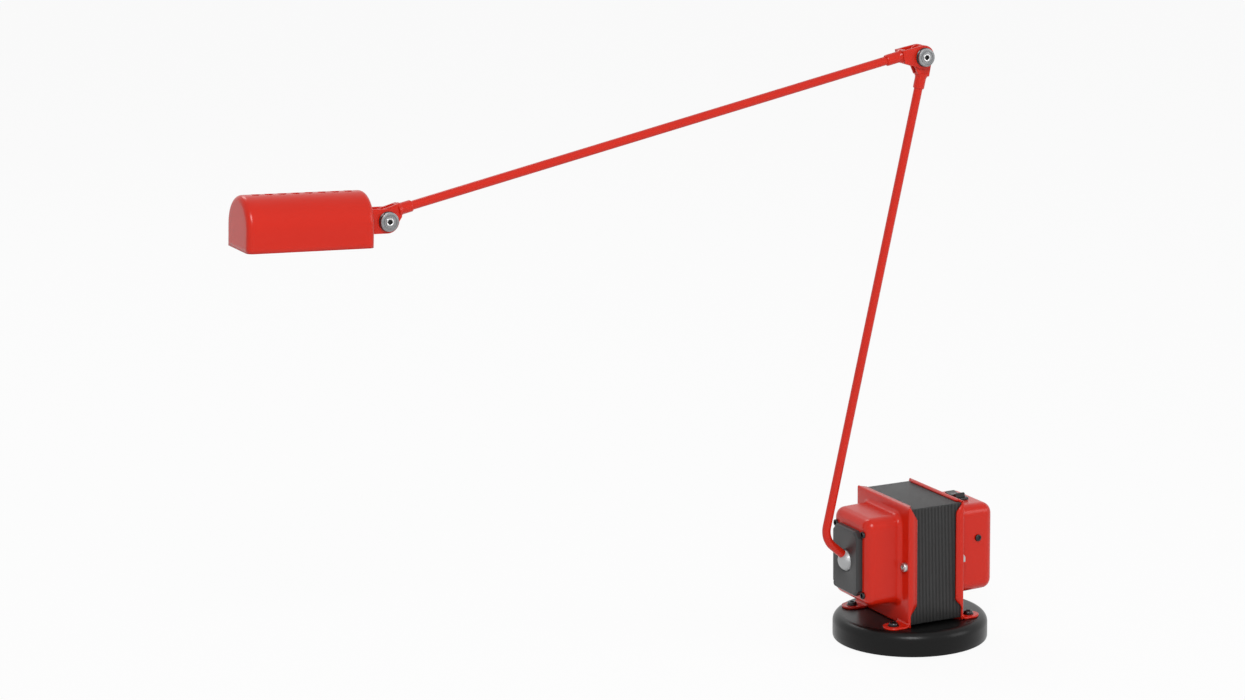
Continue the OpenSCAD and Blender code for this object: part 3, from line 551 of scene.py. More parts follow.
@dataclass(frozen=True)
class Socketed(Metal):
    """Bolt steel whose socket is painted dark as shade: bright beyond a distance from the plane y = 0."""

    bright_from: float = 9.15
    socket_shade: Triple = (0.004, 0.004, 0.004)

    def dress(self, n: Nodes) -> None:
        """Bright, or painted dark as the socket's shade, from |y|, scaled so that the border is at 0.5."""
        reach = n.maths("ABSOLUTE", n.axis("Y")) * (0.5 / (self.bright_from * MM))
        bright, marks = n.steps(reach, [(0.49, 0.0), (0.51, 1.0)]), n.noise(self.grain, 3.0)
        n.set(metallic=0.2 + bright * 0.8, roughness=self.roughness - 0.06 + marks * 0.14,
              # inside |y| < bright_from the colour is the socket recess's painted shade, near black with
              # little metal
              base_color=n.blend(bright, self.socket_shade, self.colour))
        n.bumped(marks, self.bump, 0.0003)


@dataclass(frozen=True)
class Turned(Metal):
    """Turned metal seen end on: rings about the pivot's axis, which runs along Y."""

    centre: Triple = (0.0, 0.0, 0.0)
    pitch: float = 0.35

    def dress(self, n: Nodes) -> None:
        """Rings from the distance to the axis through the centre."""
        at = n.placed(centre=self.centre)
        flat = n.make("ShaderNodeVectorMath", {"operation": "MULTIPLY"}, {0: at, 1: (1.0, 0.0, 1.0)})
        reach = n.make("ShaderNodeVectorMath", {"operation": "LENGTH"}, {0: flat}, "Value")
        wave, stain = n.maths("SINE", reach * per_pitch(self.pitch)), n.noise(220.0, 4.0)
        n.set(metallic=self.metallic, roughness=self.roughness - 0.06 + stain * 0.14,
              base_color=self.tones(n, wave * 0.2 + stain * 0.8, 0.72, 1.15))
        n.bumped(wave * 0.5 + stain * 0.7, 0.35, 0.00012)


@dataclass(frozen=True)
class Plates(Finish):
    """Varnished edges of thin steel plates: ridges across X whose grooves are painted dark as shade and whose
    middles are painted light, and dull specks.
    """

    pitch: float = 42.0 / 36
    start: float = -21.0
    land: float = 0.36

    def dress(self, n: Nodes) -> None:
        """Cosine of X over the pitch, highest on each ridge's middle, broken up by noise; the grooves are
        painted shade.
        """
        first = 2 * math.pi * (self.start / self.pitch + self.land)
        ridge = n.maths("COSINE", n.axis("X") * per_pitch(self.pitch) - first)
        speck, cloud = n.noise(1600.0, 3.0), n.noise(90.0, 3.0)
        # painted shade in each groove and painted light on each ridge's middle, times random specks and
        # clouds
        tone = n.steps(ridge * 0.5 + 0.5, [(0.1, 0.0), (0.75, 1.0)]) * (speck * 0.5 + cloud * 0.3 + 0.3)
        n.set(metallic=0.3, roughness=self.roughness - 0.08 + speck * 0.2,
              base_color=self.tones(n, tone, 0.12, 1.9))
        n.bumped(speck, 0.25, 0.00012)


@dataclass(frozen=True)
class Winding(Finish):
    """Enamelled wire laid side by side: ridges across Y, painted darker between the turns as shade and
    lighter on their tops as highlight, with a warm varnish.
    """

    pitch: float = 0.6

    def dress(self, n: Nodes) -> None:
        """Ridges from the Y coordinate as bump, and as tone with painted shade between the turns and painted
        highlight on their tops.
        """
        ridge = n.maths("SINE", n.axis("Y") * per_pitch(self.pitch))
        # the sine's share of the tone is painted shade between the turns and painted highlight on their tops
        tone = ridge * 0.25 + n.noise(150.0, 3.0) * 0.7
        n.set(metallic=0.85, roughness=self.roughness, base_color=self.tones(n, tone, 0.55, 1.2))
        n.bumped(ridge, 0.8, 0.0002)


@dataclass(frozen=True)
class Moulded(Finish):
    """Plastic, rubber or ceramic with a fine moulded grain."""

    grain: float = 2200.0
    bump: float = 0.2

    def dress(self, n: Nodes) -> None:
        """Fine grain as bump, with slight changes of gloss."""
        grain, cloud = n.noise(self.grain, 2.0), n.noise(120.0, 3.0)
        n.set(base_color=self.tones(n, cloud, 0.85, 1.12), roughness=self.gloss(grain, 0.12))
        n.bumped(grain, self.bump, 0.00012)


@dataclass(frozen=True)
class Quartz(Finish):
    """Clear quartz with a faint ripple."""

    def dress(self, n: Nodes) -> None:
        """Clear glass; the ripple is bump."""
        n.set(transmission_weight=1.0, ior=1.46, base_color=self.colour,
              roughness=self.roughness + n.noise(300.0, 2.0) * 0.03)
        n.bumped(n.noise(240.0, 2.0), 0.15, 0.0002)


class Finishes:
    """Every finish of the lamp."""

    RED = Paint("red_paint", (0.62, 0.017, 0.005), 0.25, 0.3, 0.08)
    BLACK = Paint("black_enamel", (0.003, 0.003, 0.003), 0.3, 0.2, 0.12, 600.0)
    GREY = Paint("grey_cast_paint", (0.03, 0.03, 0.031), 0.38, 0.4, 0.2, 700.0)
    LAMINATION = Plates("varnished_plates", (0.036, 0.036, 0.036), 0.34, 0.6)
    BALL = Metal("rough_aluminium", (0.42, 0.425, 0.43), 0.5, grain=620.0, bump=0.9)
    SOCKET = Socketed("socket_bolt_steel", (0.68, 0.68, 0.68), 0.24, grain=900.0, bump=0.1)
    ZINC = Metal("zinc_plate", (0.5, 0.5, 0.5), 0.34, grain=900.0, bump=0.12)
    DARK_STEEL = Metal("blackened_steel", (0.05, 0.05, 0.052), 0.3, grain=900.0)
    SHEET = Metal("bright_sheet", (0.86, 0.86, 0.85), 0.16, mark_scale=(1.0, 9.0, 1.0), grain=160.0, bump=0.1)
    FUSE = Metal("fuse_case", (0.62, 0.62, 0.62), 0.3, mark_scale=(1.0, 1.0, 4.0), grain=500.0, bump=0.1)
    BRASS = Metal("contact_brass", (0.78, 0.58, 0.26), 0.28, mark_scale=(1.0, 1.0, 5.0), grain=500.0,
                  bump=0.1)
    COPPER = Winding("enamelled_copper", (0.62, 0.26, 0.1), 0.32)
    RUBBER = Moulded("foot_rubber", (0.02, 0.02, 0.02), 0.75, grain=1500.0, bump=0.4)
    BLACK_PLASTIC = Moulded("black_plastic", (0.01, 0.01, 0.01), 0.26)
    NYLON = Moulded("white_nylon", (0.78, 0.76, 0.7), 0.45)
    TAPE = Moulded("yellow_tape", (0.72, 0.55, 0.12), 0.35, grain=500.0, bump=0.3)
    BLUE_WIRE = Moulded("blue_wire", (0.05, 0.17, 0.5), 0.35)
    CLEAR_WIRE = Moulded("pale_wire", (0.7, 0.7, 0.66), 0.3)
    FIBRE = Moulded("fibre_disc", (0.16, 0.11, 0.07), 0.7, grain=900.0, bump=0.5)
    CERAMIC = Moulded("white_ceramic", (0.82, 0.8, 0.75), 0.5, grain=1200.0, bump=0.3)
    QUARTZ = Quartz("quartz", (1.0, 1.0, 1.0), 0.02)


# ---------- the lamp's shared places ----------


@dataclass(frozen=True)
class Skeleton:
    """Joint centres and arm frames, worked out from the arms' lengths and angles."""

    ball: Triple = (-49.5, 0.0, 62.8)
    stub_angle: float = 41.0
    stub_len: float = 26.7
    bend_r: float = 15.0
    lower_len: float = 343.0
    lower_lean: float = 13.41
    upper_len: float = 406.6
    upper_droop: float = 11.06
    head_tilt: float = 2.7
    lift: float = 4.0

    def _on(self, start: Triple, length: float, angle: float) -> Triple:
        """The point at a length from start, at an angle in the XZ plane counted from +X towards +Z."""
        a = math.radians(angle)
        return (start[0] + length * math.cos(a), 0.0, start[2] + length * math.sin(a))

    @property
    def corner(self) -> Triple:
        """Where the stub's line meets the lower arm's line."""
        return self._on(self.ball, self.stub_len, 180 - self.stub_angle)

    @property
    def elbow(self) -> Triple:
        """Centre of the elbow pivot, which lies beside the lower tube's axis."""
        end = self._on(self.corner, self.lower_len, 90 - self.lower_lean)
        return self._on(end, self.lift, 180 - self.lower_lean)

    @property
    def head(self) -> Triple:
        """Centre of the head pivot."""
        return self._on(self.elbow, self.upper_len, 180 + self.upper_droop)

    def along_lower(self) -> Array:
        """Frame at the elbow with +X down the lower arm."""
        return turn_y(90 + self.lower_lean, self.elbow)

    def along_upper(self) -> Array:
        """Frame at the elbow with +X along the upper arm."""
        return turn_y(180 - self.upper_droop, self.elbow)

    def back_along_upper(self) -> Array:
        """Frame at the head pivot with +X back along the upper arm."""
        return turn_y(-self.upper_droop, self.head)

    def in_head(self) -> Array:
        """Frame at the head pivot with -X along the shade."""
        return turn_y(self.head_tilt, self.head)

    def along_stub(self) -> Array:
        """Frame at the ball with +X out along the stub."""
        return turn_y(180 + self.stub_angle, self.ball)


BONES = Skeleton()


# ---------- base ----------


@dataclass
class Base:
    """Iron disc, and the screws that hold the transformer on it."""

    radius: float = 55.0
    low: float = 0.6
    top: float = 18.0
    edge: float = 6.5
    bevel: float = 1.2
    pad_radius: float = 48.9
    recess_z: float = 2.4
    ear: tuple[float, float] = (30.5, 29.15)
    ear_top: float = 19.5
    washer: tuple[float, float] = (4.0, 0.5)

    def disc(self) -> None:
        """Disc turned from a profile: flat top, round upper edge, straight side and a small lower bevel."""
        radius, low, bevel, pad = self.radius, self.low, self.bevel, self.pad_radius
        under = [(0, self.recess_z), (pad - 0.2, self.recess_z), (pad + 0.1, low), (radius - bevel, low),
                 (radius - bevel / 4, low + bevel / 4), (radius, low + bevel), (radius, low + 5)]
        up = [(radius - self.edge * d, self.top - self.edge * (1 - r)) for r, d in zip(*quarter(12))]
        profile = under + up + [(radius / 2, self.top), (0, self.top)]
        Piece("disc", "base", ("base_disc",), "black_iron", Finishes.BLACK).add(
            lathed(np.array(profile), 160)).make()

    def screws(self) -> None:
        """Four low round heads with sockets, each on a thin washer."""
        piece = Piece("foot_screw_heads", "base", ("foot_screws",), "black_steel", Finishes.DARK_STEEL)
        r, t = self.washer
        washer = lathed(np.array([(0, 0), (r, 0), (r, 0.7 * t), (r - 0.3, t), (0, t)]), HEAD_COUNT)
        head = socket_head(radius=3.3, height=1.9, bevel=1.1, key=1.45, depth=1.3) + np.array([0, 0, t])
        for x in (-1, 1):
            for y in (-1, 1):
                at = np.array([x * self.ear[0], y * self.ear[1], self.ear_top])
                piece.add(washer + at, head + at)
        piece.make()

    def build(self) -> None:
        """Makes the pieces."""
        self.disc()
        self.screws()


# ---------- transformer ----------


class Side(Enum):
    """The two covers: the value is the sign of X."""

    FRONT = -1
    BACK = 1


@dataclass
class Core:
    """Stack of thin plates whose edges show as fine ridges."""

    half_x: float = 21.0
    half_y: float = 35.0
    z0: float = 19.5
    z1: float = 103.5
    bundles: int = 36
    corner_r: float = 0.9
    groove: float = 0.55
    land: float = 0.72

    def build(self) -> None:
        """Rectangle loops along X; each bundle's loops draw in over its groove as a rounded step."""
        pitch = 2 * self.half_x / self.bundles
        part = np.array([0.0, 0.05, 0.14, 0.4, 0.6, self.land - 0.06, self.land, self.land + 0.05, 0.95])
        depth = self.groove * np.array([0.55, 0.14, 0.0, 0.0, 0.0, 0.14, 0.55, 1.0, 1.0])
        x = (-self.half_x + pitch * (np.arange(self.bundles)[:, None] + part[None, :])).ravel()
        draw = np.tile(depth, self.bundles)
        x, draw = np.append(x, self.half_x), np.append(draw, 0.0)
        centre = (0.0, (self.z0 + self.z1) / 2)
        sides = rectangle(2 * self.half_y, self.z1 - self.z0, centre)
        loops = [rounded(sides, self.corner_r, 4, 2, inset=d) for d in draw]
        middle = np.broadcast_to(np.array(centre), loops[0].shape)
        grid = stacked([middle] + loops + [middle], [x[0], *x, x[-1]])
        Piece("plate_stack", "base", ("core_e_stack", "core_i_stack"), "lamination_steel",
              Finishes.LAMINATION, sharp=60).add(along_x(grid)).make()


@dataclass
class Cover:
    """Pressed cover: a flange with lips round the stack, a deep box with soft edges, and two ears."""

    side: Side
    box_depth: float
    node: str
    sheet: float = 1.5
    core_x: float = 21.0
    flange: tuple[float, float] = (73.3, 87.0)
    flange_z: float = 61.5
    box: tuple[float, float] = (51.0, 64.0)
    box_z: float = 65.0
    plan_r: float = 7.5
    root_r: float = 3.5
    face_r: float = 7.0
    side_lip: float = 5.0
    top_lip: float = 3.0
    lip_start: float = 0.6
    lip_run: float = 8.4
    foot_gap: tuple[float, float] = (9.0, 7.0)
    top_run: tuple[float, float] = (2.6, 3.4)
    bend: float = 1.4
    corner_r: float = 0.6
    draft: float = 0.5
    least_r: float = 1.4
    ear: tuple[float, float] = (30.5, 29.15)
    ear_r: float = 7.5
    ear_bend: float = 2.2
    foot_z: float = 18.0

    def outline(self, size: tuple[float, float], middle_z: float, radius: float, inset: float = 0.0) -> Array:
        """Round-cornered outline in the YZ plane, always with the same number of points."""
        return rounded(rectangle(*size, (0, middle_z)), radius, 6, 40, inset)

    def lip_depth(self, loop: Array) -> Array:
        """Depth of the lip at each point of the flange's outline.

        It is full along each side and the top and ramps to none at the corners. On the back cover the side
        lip's ramp t is rounded to 3t^2 - 2t^3.
        """
        half_y, half_z = self.flange[0] / 2, self.flange[1] / 2
        y, z = np.abs(loop[:, 0]), loop[:, 1] - self.flange_z
        on_side = y > half_y - 0.4
        up = np.clip((half_z - z - self.lip_start) / self.lip_run, 0, 1)
        up = up * np.clip((half_z + z - self.foot_gap[0]) / self.foot_gap[1], 0, 1)
        up = up * up * (3 - 2 * up) if self.side is Side.BACK else up
        across = np.clip((half_y - y - self.top_run[0]) / self.top_run[1], 0, 1)
        ramp = np.where(on_side, self.side_lip * up, self.top_lip * across)
        return np.where((np.abs(z) > half_z - 0.4) | on_side, ramp, 0.0)

    def shell(self) -> Array:
        """Loops from the lip's edge to the middle of the box's face.

        The flange's outline is carried over the bend; then the box's outline, first set out by the root's
        radius, climbs the root as 1 - cos, the wall with a slight draft, and the face's edge as sin.
        """
        outline = self.outline(self.flange, self.flange_z, self.corner_r)
        face_x = self.core_x + self.sheet
        lip_edge = np.minimum(self.core_x - self.lip_depth(outline), face_x - self.bend)
        rows = [(lip_edge, outline)]
        for r, d in zip(*quarter(5)):
            rows.append((face_x - self.bend * (1 - r),
                         self.outline(self.flange, self.flange_z, self.corner_r, self.bend * d)))
        for r, d in zip(*quarter(7)):
            out = self.root_r * (1 - r)
            loop = self.outline(self.box, self.box_z, self.plan_r + out, -out)
            rows.append((face_x + self.root_r * d, loop))
        top_x = face_x + self.box_depth
        for r, d in zip(*quarter(9)):
            inset = self.draft + (self.face_r - self.draft) * d
            radius = max(self.plan_r - inset * 0.75, self.least_r)
            rows.append((top_x - self.face_r * (1 - r), self.outline(self.box, self.box_z, radius, inset)))
        middle = np.array([0.0, self.box_z])
        for share in (0.5, 0.12, 0.0):
            rows.append((top_x, middle + (rows[-1][1] - middle) * share))
        return np.stack([np.column_stack([np.broadcast_to(x, len(outline)), yz]) for x, yz in rows])

    def ear_plate(self) -> Array:
        """Ear on the +Y side: a strip that leaves the flange round a small bend and ends in a half circle.

        Along the strip x runs out and z falls as 1 - cos; across it y is the ear's middle plus t times the
        half width, which is the root of r^2 - (x - middle)^2 past the ear's middle.
        """
        bend, face_x = self.ear_bend, self.core_x + self.sheet
        rise, draw = quarter(6)
        top = self.foot_z + self.sheet
        x = np.concatenate([face_x + bend * draw, np.linspace(face_x + bend + 0.8, self.ear[0], 4),
                            self.ear[0] + self.ear_r * np.sin(np.linspace(0.12, np.pi / 2, 12))])
        z = np.concatenate([top + bend * (1 - rise), np.full(16, top)])
        half = np.sqrt(np.maximum(self.ear_r**2 - np.maximum(x - self.ear[0], 0) ** 2, 0))
        half = half * (1 + 0.1 * np.clip((face_x + 4 - x) / 4, 0, 1))
        t = np.linspace(-1, 1, 17)
        y = np.clip(self.ear[1] + t[None, :] * half[:, None], None, self.flange[0] / 2 - 0.02)
        return np.stack([np.broadcast_to(x[:, None], y.shape), y, np.broadcast_to(z[:, None], y.shape)], 2)

    def build(self) -> None:
        """Makes the cover; the sheet's thickness is laid inwards."""
        sign = np.array([self.side.value, 1.0, 1.0])
        ear = self.ear_plate() * sign
        piece = Piece(f"{self.node}_shell", "base", (self.node,), "red_paint", Finishes.RED,
                      wall=self.sheet, sharp=50)
        piece.add(self.shell() * sign).add(ear, ear * MIRROR, closed=False).make()


@dataclass
class TieHardware:
    """Heads and ends of the two bolts through covers and stack."""

    y: float = 31.5
    z: float = 61.5
    face_x: float = 22.5
    bolt_r: float = 1.98
    end_len: float = 2.7

    def build(self) -> None:
        """Round socket heads at the front, and the bolts' bevelled ends in their nuts at the back."""
        heads = Piece("tie_bolt_heads", "base", ("tie_bolts",), "zinc_steel", Finishes.ZINC)
        head = along_x(socket_head(radius=3.4, height=2.4, bevel=0.8, key=1.5, depth=1.3), -1)
        r, h = self.bolt_r, self.end_len
        end = along_x(lathed(np.array([(0, 0), (r, 0), (r, h - 0.3), (r - 0.28, h - 0.02), (0, h)]), 32))
        for s in (-1, 1):
            heads.add(head + np.array([-self.face_x, s * self.y, self.z]),
                      end + np.array([self.face_x, s * self.y, self.z]))
        heads.make()


# ---------- ball joint ----------


@dataclass
class BallPlate:
    """Cast plate on the front box: cut corners, a bevelled edge and a round seat for the ball."""

    width: float = 35.0
    height: float = 47.0
    cut: float = 4.5
    back_x: float = -49.0
    thickness: float = 4.4
    bevel: float = 1.2
    middle_z: float = 63.3
    seat_r: float = 8.5
    seat_edge: float = 68.0

    def build(self) -> None:
        """Loops from the back over the side and bevel to the face, then circles into the spherical seat.

        The circles' points keep the outline's polar angles. In the seat, radius and x are the seat's radius
        times the sine and the cosine of the angle from -X.
        """
        w, h, c = self.width / 2, self.height / 2, self.cut
        corners = np.array([[c - w, -h], [w - c, -h], [w, c - h], [w, h - c], [w - c, h], [c - w, h],
                            [-w, h - c], [-w, c - h]]) + np.array([0, self.middle_z])
        bevel = ((0.6, 0), (0.6, 0), (0.5, 0.15), (0.4, 1.0), (0.4, 1.3))
        loops = [rounded(corners, r, 4, 6, inset=d) for r, d in bevel]
        face = self.back_x - self.thickness
        xs = [self.back_x, face + self.bevel, face + self.bevel * 0.85, face + 0.14, face]
        ball_x, _, ball_z = BONES.ball
        middle = np.array([0, ball_z])
        ray = unit(loops[0] - middle)
        turns = np.radians([self.seat_edge, *np.linspace(self.seat_edge + 4, 90, 5)])
        radii = self.seat_r * np.sin(turns)
        radii = [radii[0] + 1.5, radii[0] + 1.1, *radii, self.seat_r + 0.1]
        loops += [middle + ray * r for r in radii] + [loops[0]]
        xs += [face, face + 0.12, *(ball_x - self.seat_r * np.cos(turns)), self.back_x, self.back_x]
        grid = along_x(stacked(loops, xs))
        Piece("joint_plate", "base", ("ball_plate",), "grey_paint", Finishes.GREY, sharp=24).add(grid).make()


@dataclass
class Ball:
    """Blasted aluminium ball with the bore that takes the stub."""

    radius: float = 8.2
    bore: float = 3.08
    rear_bore: float = 2.0
    bore_end: float = 1.0

    def build(self) -> None:
        """Arc of the sphere from the bore's rim to the small rear bore, turned about the stub."""
        start, stop = math.asin(self.bore / self.radius), math.pi - math.asin(self.rear_bore / self.radius)
        a = np.linspace(start, stop, 49)
        arc = self.radius * np.stack([np.sin(a), np.cos(a)], 1)
        floor = [self.rear_bore, self.bore_end]
        profile = np.concatenate([[floor, [self.bore, self.bore_end]], arc, [floor]])
        grid = placed(along_x(lathed(profile, 72)), BONES.along_stub())
        Piece("joint_ball", "ball", ("ball",), "rough_aluminium", Finishes.BALL).add(grid).make()


@dataclass
class CoverScrews:
    """Small socket screws round the ball plate, and the terminal block's screw on the back box."""

    y: float = 18.8
    z: float = 22.0
    middle_z: float = 63.3
    face_x: float = -49.0
    terminal: Triple = (40.5, -25.5, 73.0)

    def build(self) -> None:
        """Ring-edged heads with deep sockets."""
        piece = Piece("cover_screw_heads", "base", ("cover_screws",), "black_steel", Finishes.DARK_STEEL)
        head = along_x(socket_head(radius=2.4, height=1.5, bevel=0.35, key=1.45, depth=1.4), -1)
        for y in (-1, 1):
            for z in (-1, 1):
                piece.add(head + np.array([self.face_x, y * self.y, self.middle_z + z * self.z]))
        piece.make()
        flat = along_y(socket_head(radius=2.4, height=1.2, bevel=0.6, key=1.1, depth=0.8), -1)
        Piece("terminal_screw_head", "base", ("terminal_screw",), "black_steel", Finishes.DARK_STEEL).add(
            flat + np.array(self.terminal)).make()


# ---------- switch and inlet ----------


@dataclass
class Switch:
    """Rocker switch in the middle of the back box's top."""

    centre: Triple = (37.0, 0.0, 97.0)
    rocker: tuple[float, float] = (7.5, 14.4)
    bezel: Triple = (11.6, 19.0, 1.6)
    body: tuple[float, float] = (10.2, 17.4)
    well: tuple[float, float] = (8.4, 15.6)
    depth: float = 8.0
    swing: float = 6.0
    low: float = 2.75
    rise: float = 1.6
    key_depth: float = 5.2

    def housing(self) -> Array:
        """Loops up the body, over the bezel's soft edge and down into the well."""
        (w, h, top), (a, b), floor = self.bezel, self.well, 1 - self.depth
        sections = [(*self.body, 0.5, -self.depth), (*self.body, 0.5, 0.0), (w, h, 1.2, 0.0),
                    (w, h, 1.2, top - 0.6), (w - 0.25, h - 0.25, 1.1, top - 0.2),
                    (w - 0.8, h - 0.8, 0.9, top), (a + 0.4, b + 0.4, 0.5, top - 0.05),
                    (a, b, 0.4, top - 0.35), (a, b, 0.4, floor), (0.1, 0.1, LEAST_RADIUS, floor)]
        spot, z = self.centre[:2], self.centre[2]
        loops = [rounded(rectangle(across, along, spot), r, 4, 3) for across, along, r, _ in sections]
        middle = loops[0] * 0 + np.array(spot)
        return stacked([middle] + loops, [z - self.depth] + [z + section[3] for section in sections])

    def key(self) -> tuple[Array, Array]:
        """Top and skirt of the rocker.

        With u and v from -1 to 1 across and along the key, the top's height is the low middle plus the rise
        times |v| to the power 1.5, falling quickly past |u| = 0.84 and |v| = 0.9; the skirt closes it below.
        """
        u, v = np.meshgrid(np.linspace(-1, 1, 17), np.linspace(-1, 1, 45))
        past_side, past_end = np.maximum(np.abs(u) - 0.84, 0), np.maximum(np.abs(v) - 0.9, 0)
        top = self.low + self.rise * np.abs(v) ** 1.5 - 14 * past_side**2 - 60 * past_end**2
        surface = np.stack([u * self.rocker[0] / 2, v * self.rocker[1] / 2, top], 2)
        rim = np.concatenate([surface[0, :], surface[1:, -1], surface[-1, -2::-1], surface[-2:0:-1, 0]])
        shrink = ((1, 1, -1.4), (0.9, 0.35, -self.key_depth), (0, 0, -self.key_depth))
        skirt = [rim * np.array([across, along, 0]) + np.array([0, 0, z]) for across, along, z in shrink]
        return surface, np.stack([rim, *skirt])

    def build(self) -> None:
        """Makes the housing and the rocker, which is turned about +X so that its near end stands up."""
        Piece("switch_housing", "base", ("switch_frame",), "black_plastic", Finishes.BLACK_PLASTIC).add(
            self.housing()).make()
        lean, at = math.radians(-self.swing), np.array(self.centre)
        c, s = math.cos(lean), math.sin(lean)
        surface, skirt = (grid @ np.array([[1, 0, 0], [0, c, s], [0, -s, c]]) + at for grid in self.key())
        Piece("rocker_key", "rocker", ("switch_rocker",), "black_plastic", Finishes.BLACK_PLASTIC,
              sharp=45).add(surface, closed=False).add(skirt).make()


@dataclass
class Inlet:
    """Rubber grommet on the back cover, the way in for the cord."""

    z: float = 48.0
    face_x: float = 54.0
    radius: float = 7.3
    groove_r: float = 5.4
    bore: float = 3.4
    depth: float = 3.3

    def build(self) -> None:
        """Turned ring with a rolled outer lip, a groove for the sheet and a round bore."""
        r, bore, groove = self.radius, self.bore, self.groove_r
        inner = [(bore, -self.depth), (r - 0.5, -self.depth), (r - 0.3, -1.7), (groove, -1.5), (groove, 0.0)]
        lip = [(r - 0.1, 0.0), (r, 0.5), (r - 0.5, 1.3), (r - 1.6, 1.8), (bore + 1.2, 2.0), (bore + 0.4, 1.8),
               (bore, 1.2), inner[0]]
        grid = along_x(lathed(np.array(inner + lip), 56)) + np.array([self.face_x, 0, self.z])
        Piece("cord_bush", "base", ("cord_grommet",), "black_rubber", Finishes.RUBBER).add(grid).make()


# ---------- arms and pivots ----------


@dataclass
class Tubes:
    """The two painted steel tubes; the lower one is bent into the stub that enters the ball."""

    radius: float = 3.0
    wall: float = 1.0
    lower_start: float = 9.5
    upper_start: float = 12.5
    upper_stop: float = 398.6
    stub_stop: float = 1.0

    def tube(self, path: Array) -> Array:
        """Outer surface and bore, joined by a flat rim at each end, as one closed ring of loops."""
        skin, bore = piped(path, self.radius), piped(path, self.radius - self.wall)
        return np.concatenate([skin, bore[::-1], skin[:1]])

    def lower_path(self) -> Array:
        """Straight run, an arc of the bend's radius, and the stub, in the lower arm's frame."""
        turn = math.radians(90 + BONES.lower_lean - BONES.stub_angle)
        run = BONES.bend_r * math.tan(turn / 2)
        straight = BONES.lower_len - run
        first, a = np.linspace(self.lower_start, straight - 0.5, 12), np.linspace(0, turn, 25)
        x = np.concatenate([first, straight + BONES.bend_r * np.sin(a)])
        z = np.concatenate([0 * first, BONES.bend_r * (1 - np.cos(a))])
        left = np.linspace(0.6, BONES.stub_len - run - self.stub_stop, 6)
        x = np.concatenate([x, x[-1] + left * math.cos(turn)])
        z = np.concatenate([z, z[-1] + left * math.sin(turn)])
        return np.stack([x, 0 * x, z], 1)

    def build(self) -> None:
        """Makes both tubes."""
        x = np.linspace(self.upper_start, self.upper_stop, 14)
        for arm, path, lift, place in (
            ("lower", self.lower_path(), BONES.lift, BONES.along_lower()),
            ("upper", np.stack([x, 0 * x, 0 * x], 1), -BONES.lift, BONES.along_upper()),
        ):
            grid = placed(self.tube(path) + np.array([0.0, 0.0, lift]), place)
            Piece(f"{arm}_arm_tube", f"{arm}_arm", (f"{arm}_tube",), "red_paint", Finishes.RED, sharp=60).add(
                grid).make()


@dataclass
class Fork:
    """Fork on a tube's end: two pressed cheeks, the bridge between them and a sleeve on the tube."""

    name: str
    body: str
    node: str
    frame: Array
    reach: float
    sleeve_end: float
    lift: float
    y_in: float
    y_out: float
    hole: float
    cheek_r: float = 8.0
    shoulder: float = 4.5
    bridge: float = 3.0
    sleeve_r: float = 3.9
    sleeve_bore: float = 3.06

    def touch(self, z: float, side: int) -> float:
        """Polar angle at which the line from the shoulder's corner at z touches the round end."""
        return math.atan2(z, self.reach) + side * math.acos(self.cheek_r / math.hypot(self.reach, z))

    def cheek(self) -> Array:
        """Cheek's outline through its thickness: an arc round the pivot, then tangents to the shoulder."""
        high, low = self.lift + self.shoulder, self.lift - self.shoulder
        a = np.linspace(self.touch(high, 1), 2 * math.pi + self.touch(low, -1), 30)
        arc = self.cheek_r * np.stack([np.cos(a), np.sin(a)], 1)
        corners = np.concatenate([arc, [[self.reach, low], [self.reach, high]]])
        return along_y(slab(corners, 0.3, self.y_in, self.y_out, 0.3, self.hole))

    def build(self) -> None:
        """Makes the fork in its own frame and places it."""
        cheek, centre = self.cheek(), (self.reach - self.bridge / 2, 0)
        block = slab(rectangle(self.bridge, 2 * self.y_out - 0.1, centre), 0.5, self.lift - self.shoulder,
                     self.lift + self.shoulder, 0.5, centre=centre)
        bore, r, start, end = self.sleeve_bore, self.sleeve_r, self.reach, self.sleeve_end
        profile = [(bore, start - 1), (r + 0.9, start - 1), (r + 0.7, start + 0.5), (r + 0.15, start + 1.3),
                   (r, start + 2.2), (r, end - 0.9), (r - 0.15, end - 0.4), (r - 0.5, end), (bore, end),
                   (bore, start - 1)]
        sleeve = along_x(lathed(np.array(profile), 48)) + np.array([0.0, 0.0, self.lift])
        Piece(self.name, self.body, (self.node,), "red_paint", Finishes.RED, sharp=42).add(
            *(placed(g, self.frame) for g in (cheek, cheek * MIRROR, block, sleeve))).make()


@dataclass
class HeadBracket:
    """U of sheet that joins the shade's end to the head pivot."""

    end_x: float = -14.0
    y_in: float = 4.3
    y_out: float = 5.8
    half: float = 8.0
    hole: float = 2.95

    def build(self) -> None:
        """Two cheeks with a half-round end and a plate against the shade."""
        end = self.end_x + 0.02
        corners = np.concatenate([half_round(self.half), [[end, self.half], [end, -self.half]]])
        cheek = along_y(slab(corners, 0.3, self.y_in, self.y_out, 0.3, self.hole))
        plate = rectangle(2 * self.y_out - 0.1, 2 * self.half)
        back = along_x(slab(plate, 0.4, self.end_x, self.end_x + self.y_out - self.y_in, 0.3))
        Piece("head_yoke", "head", ("head_bracket",), "red_paint", Finishes.RED, sharp=42).add(
            *(placed(g, BONES.in_head()) for g in (cheek, cheek * MIRROR, back))).make()


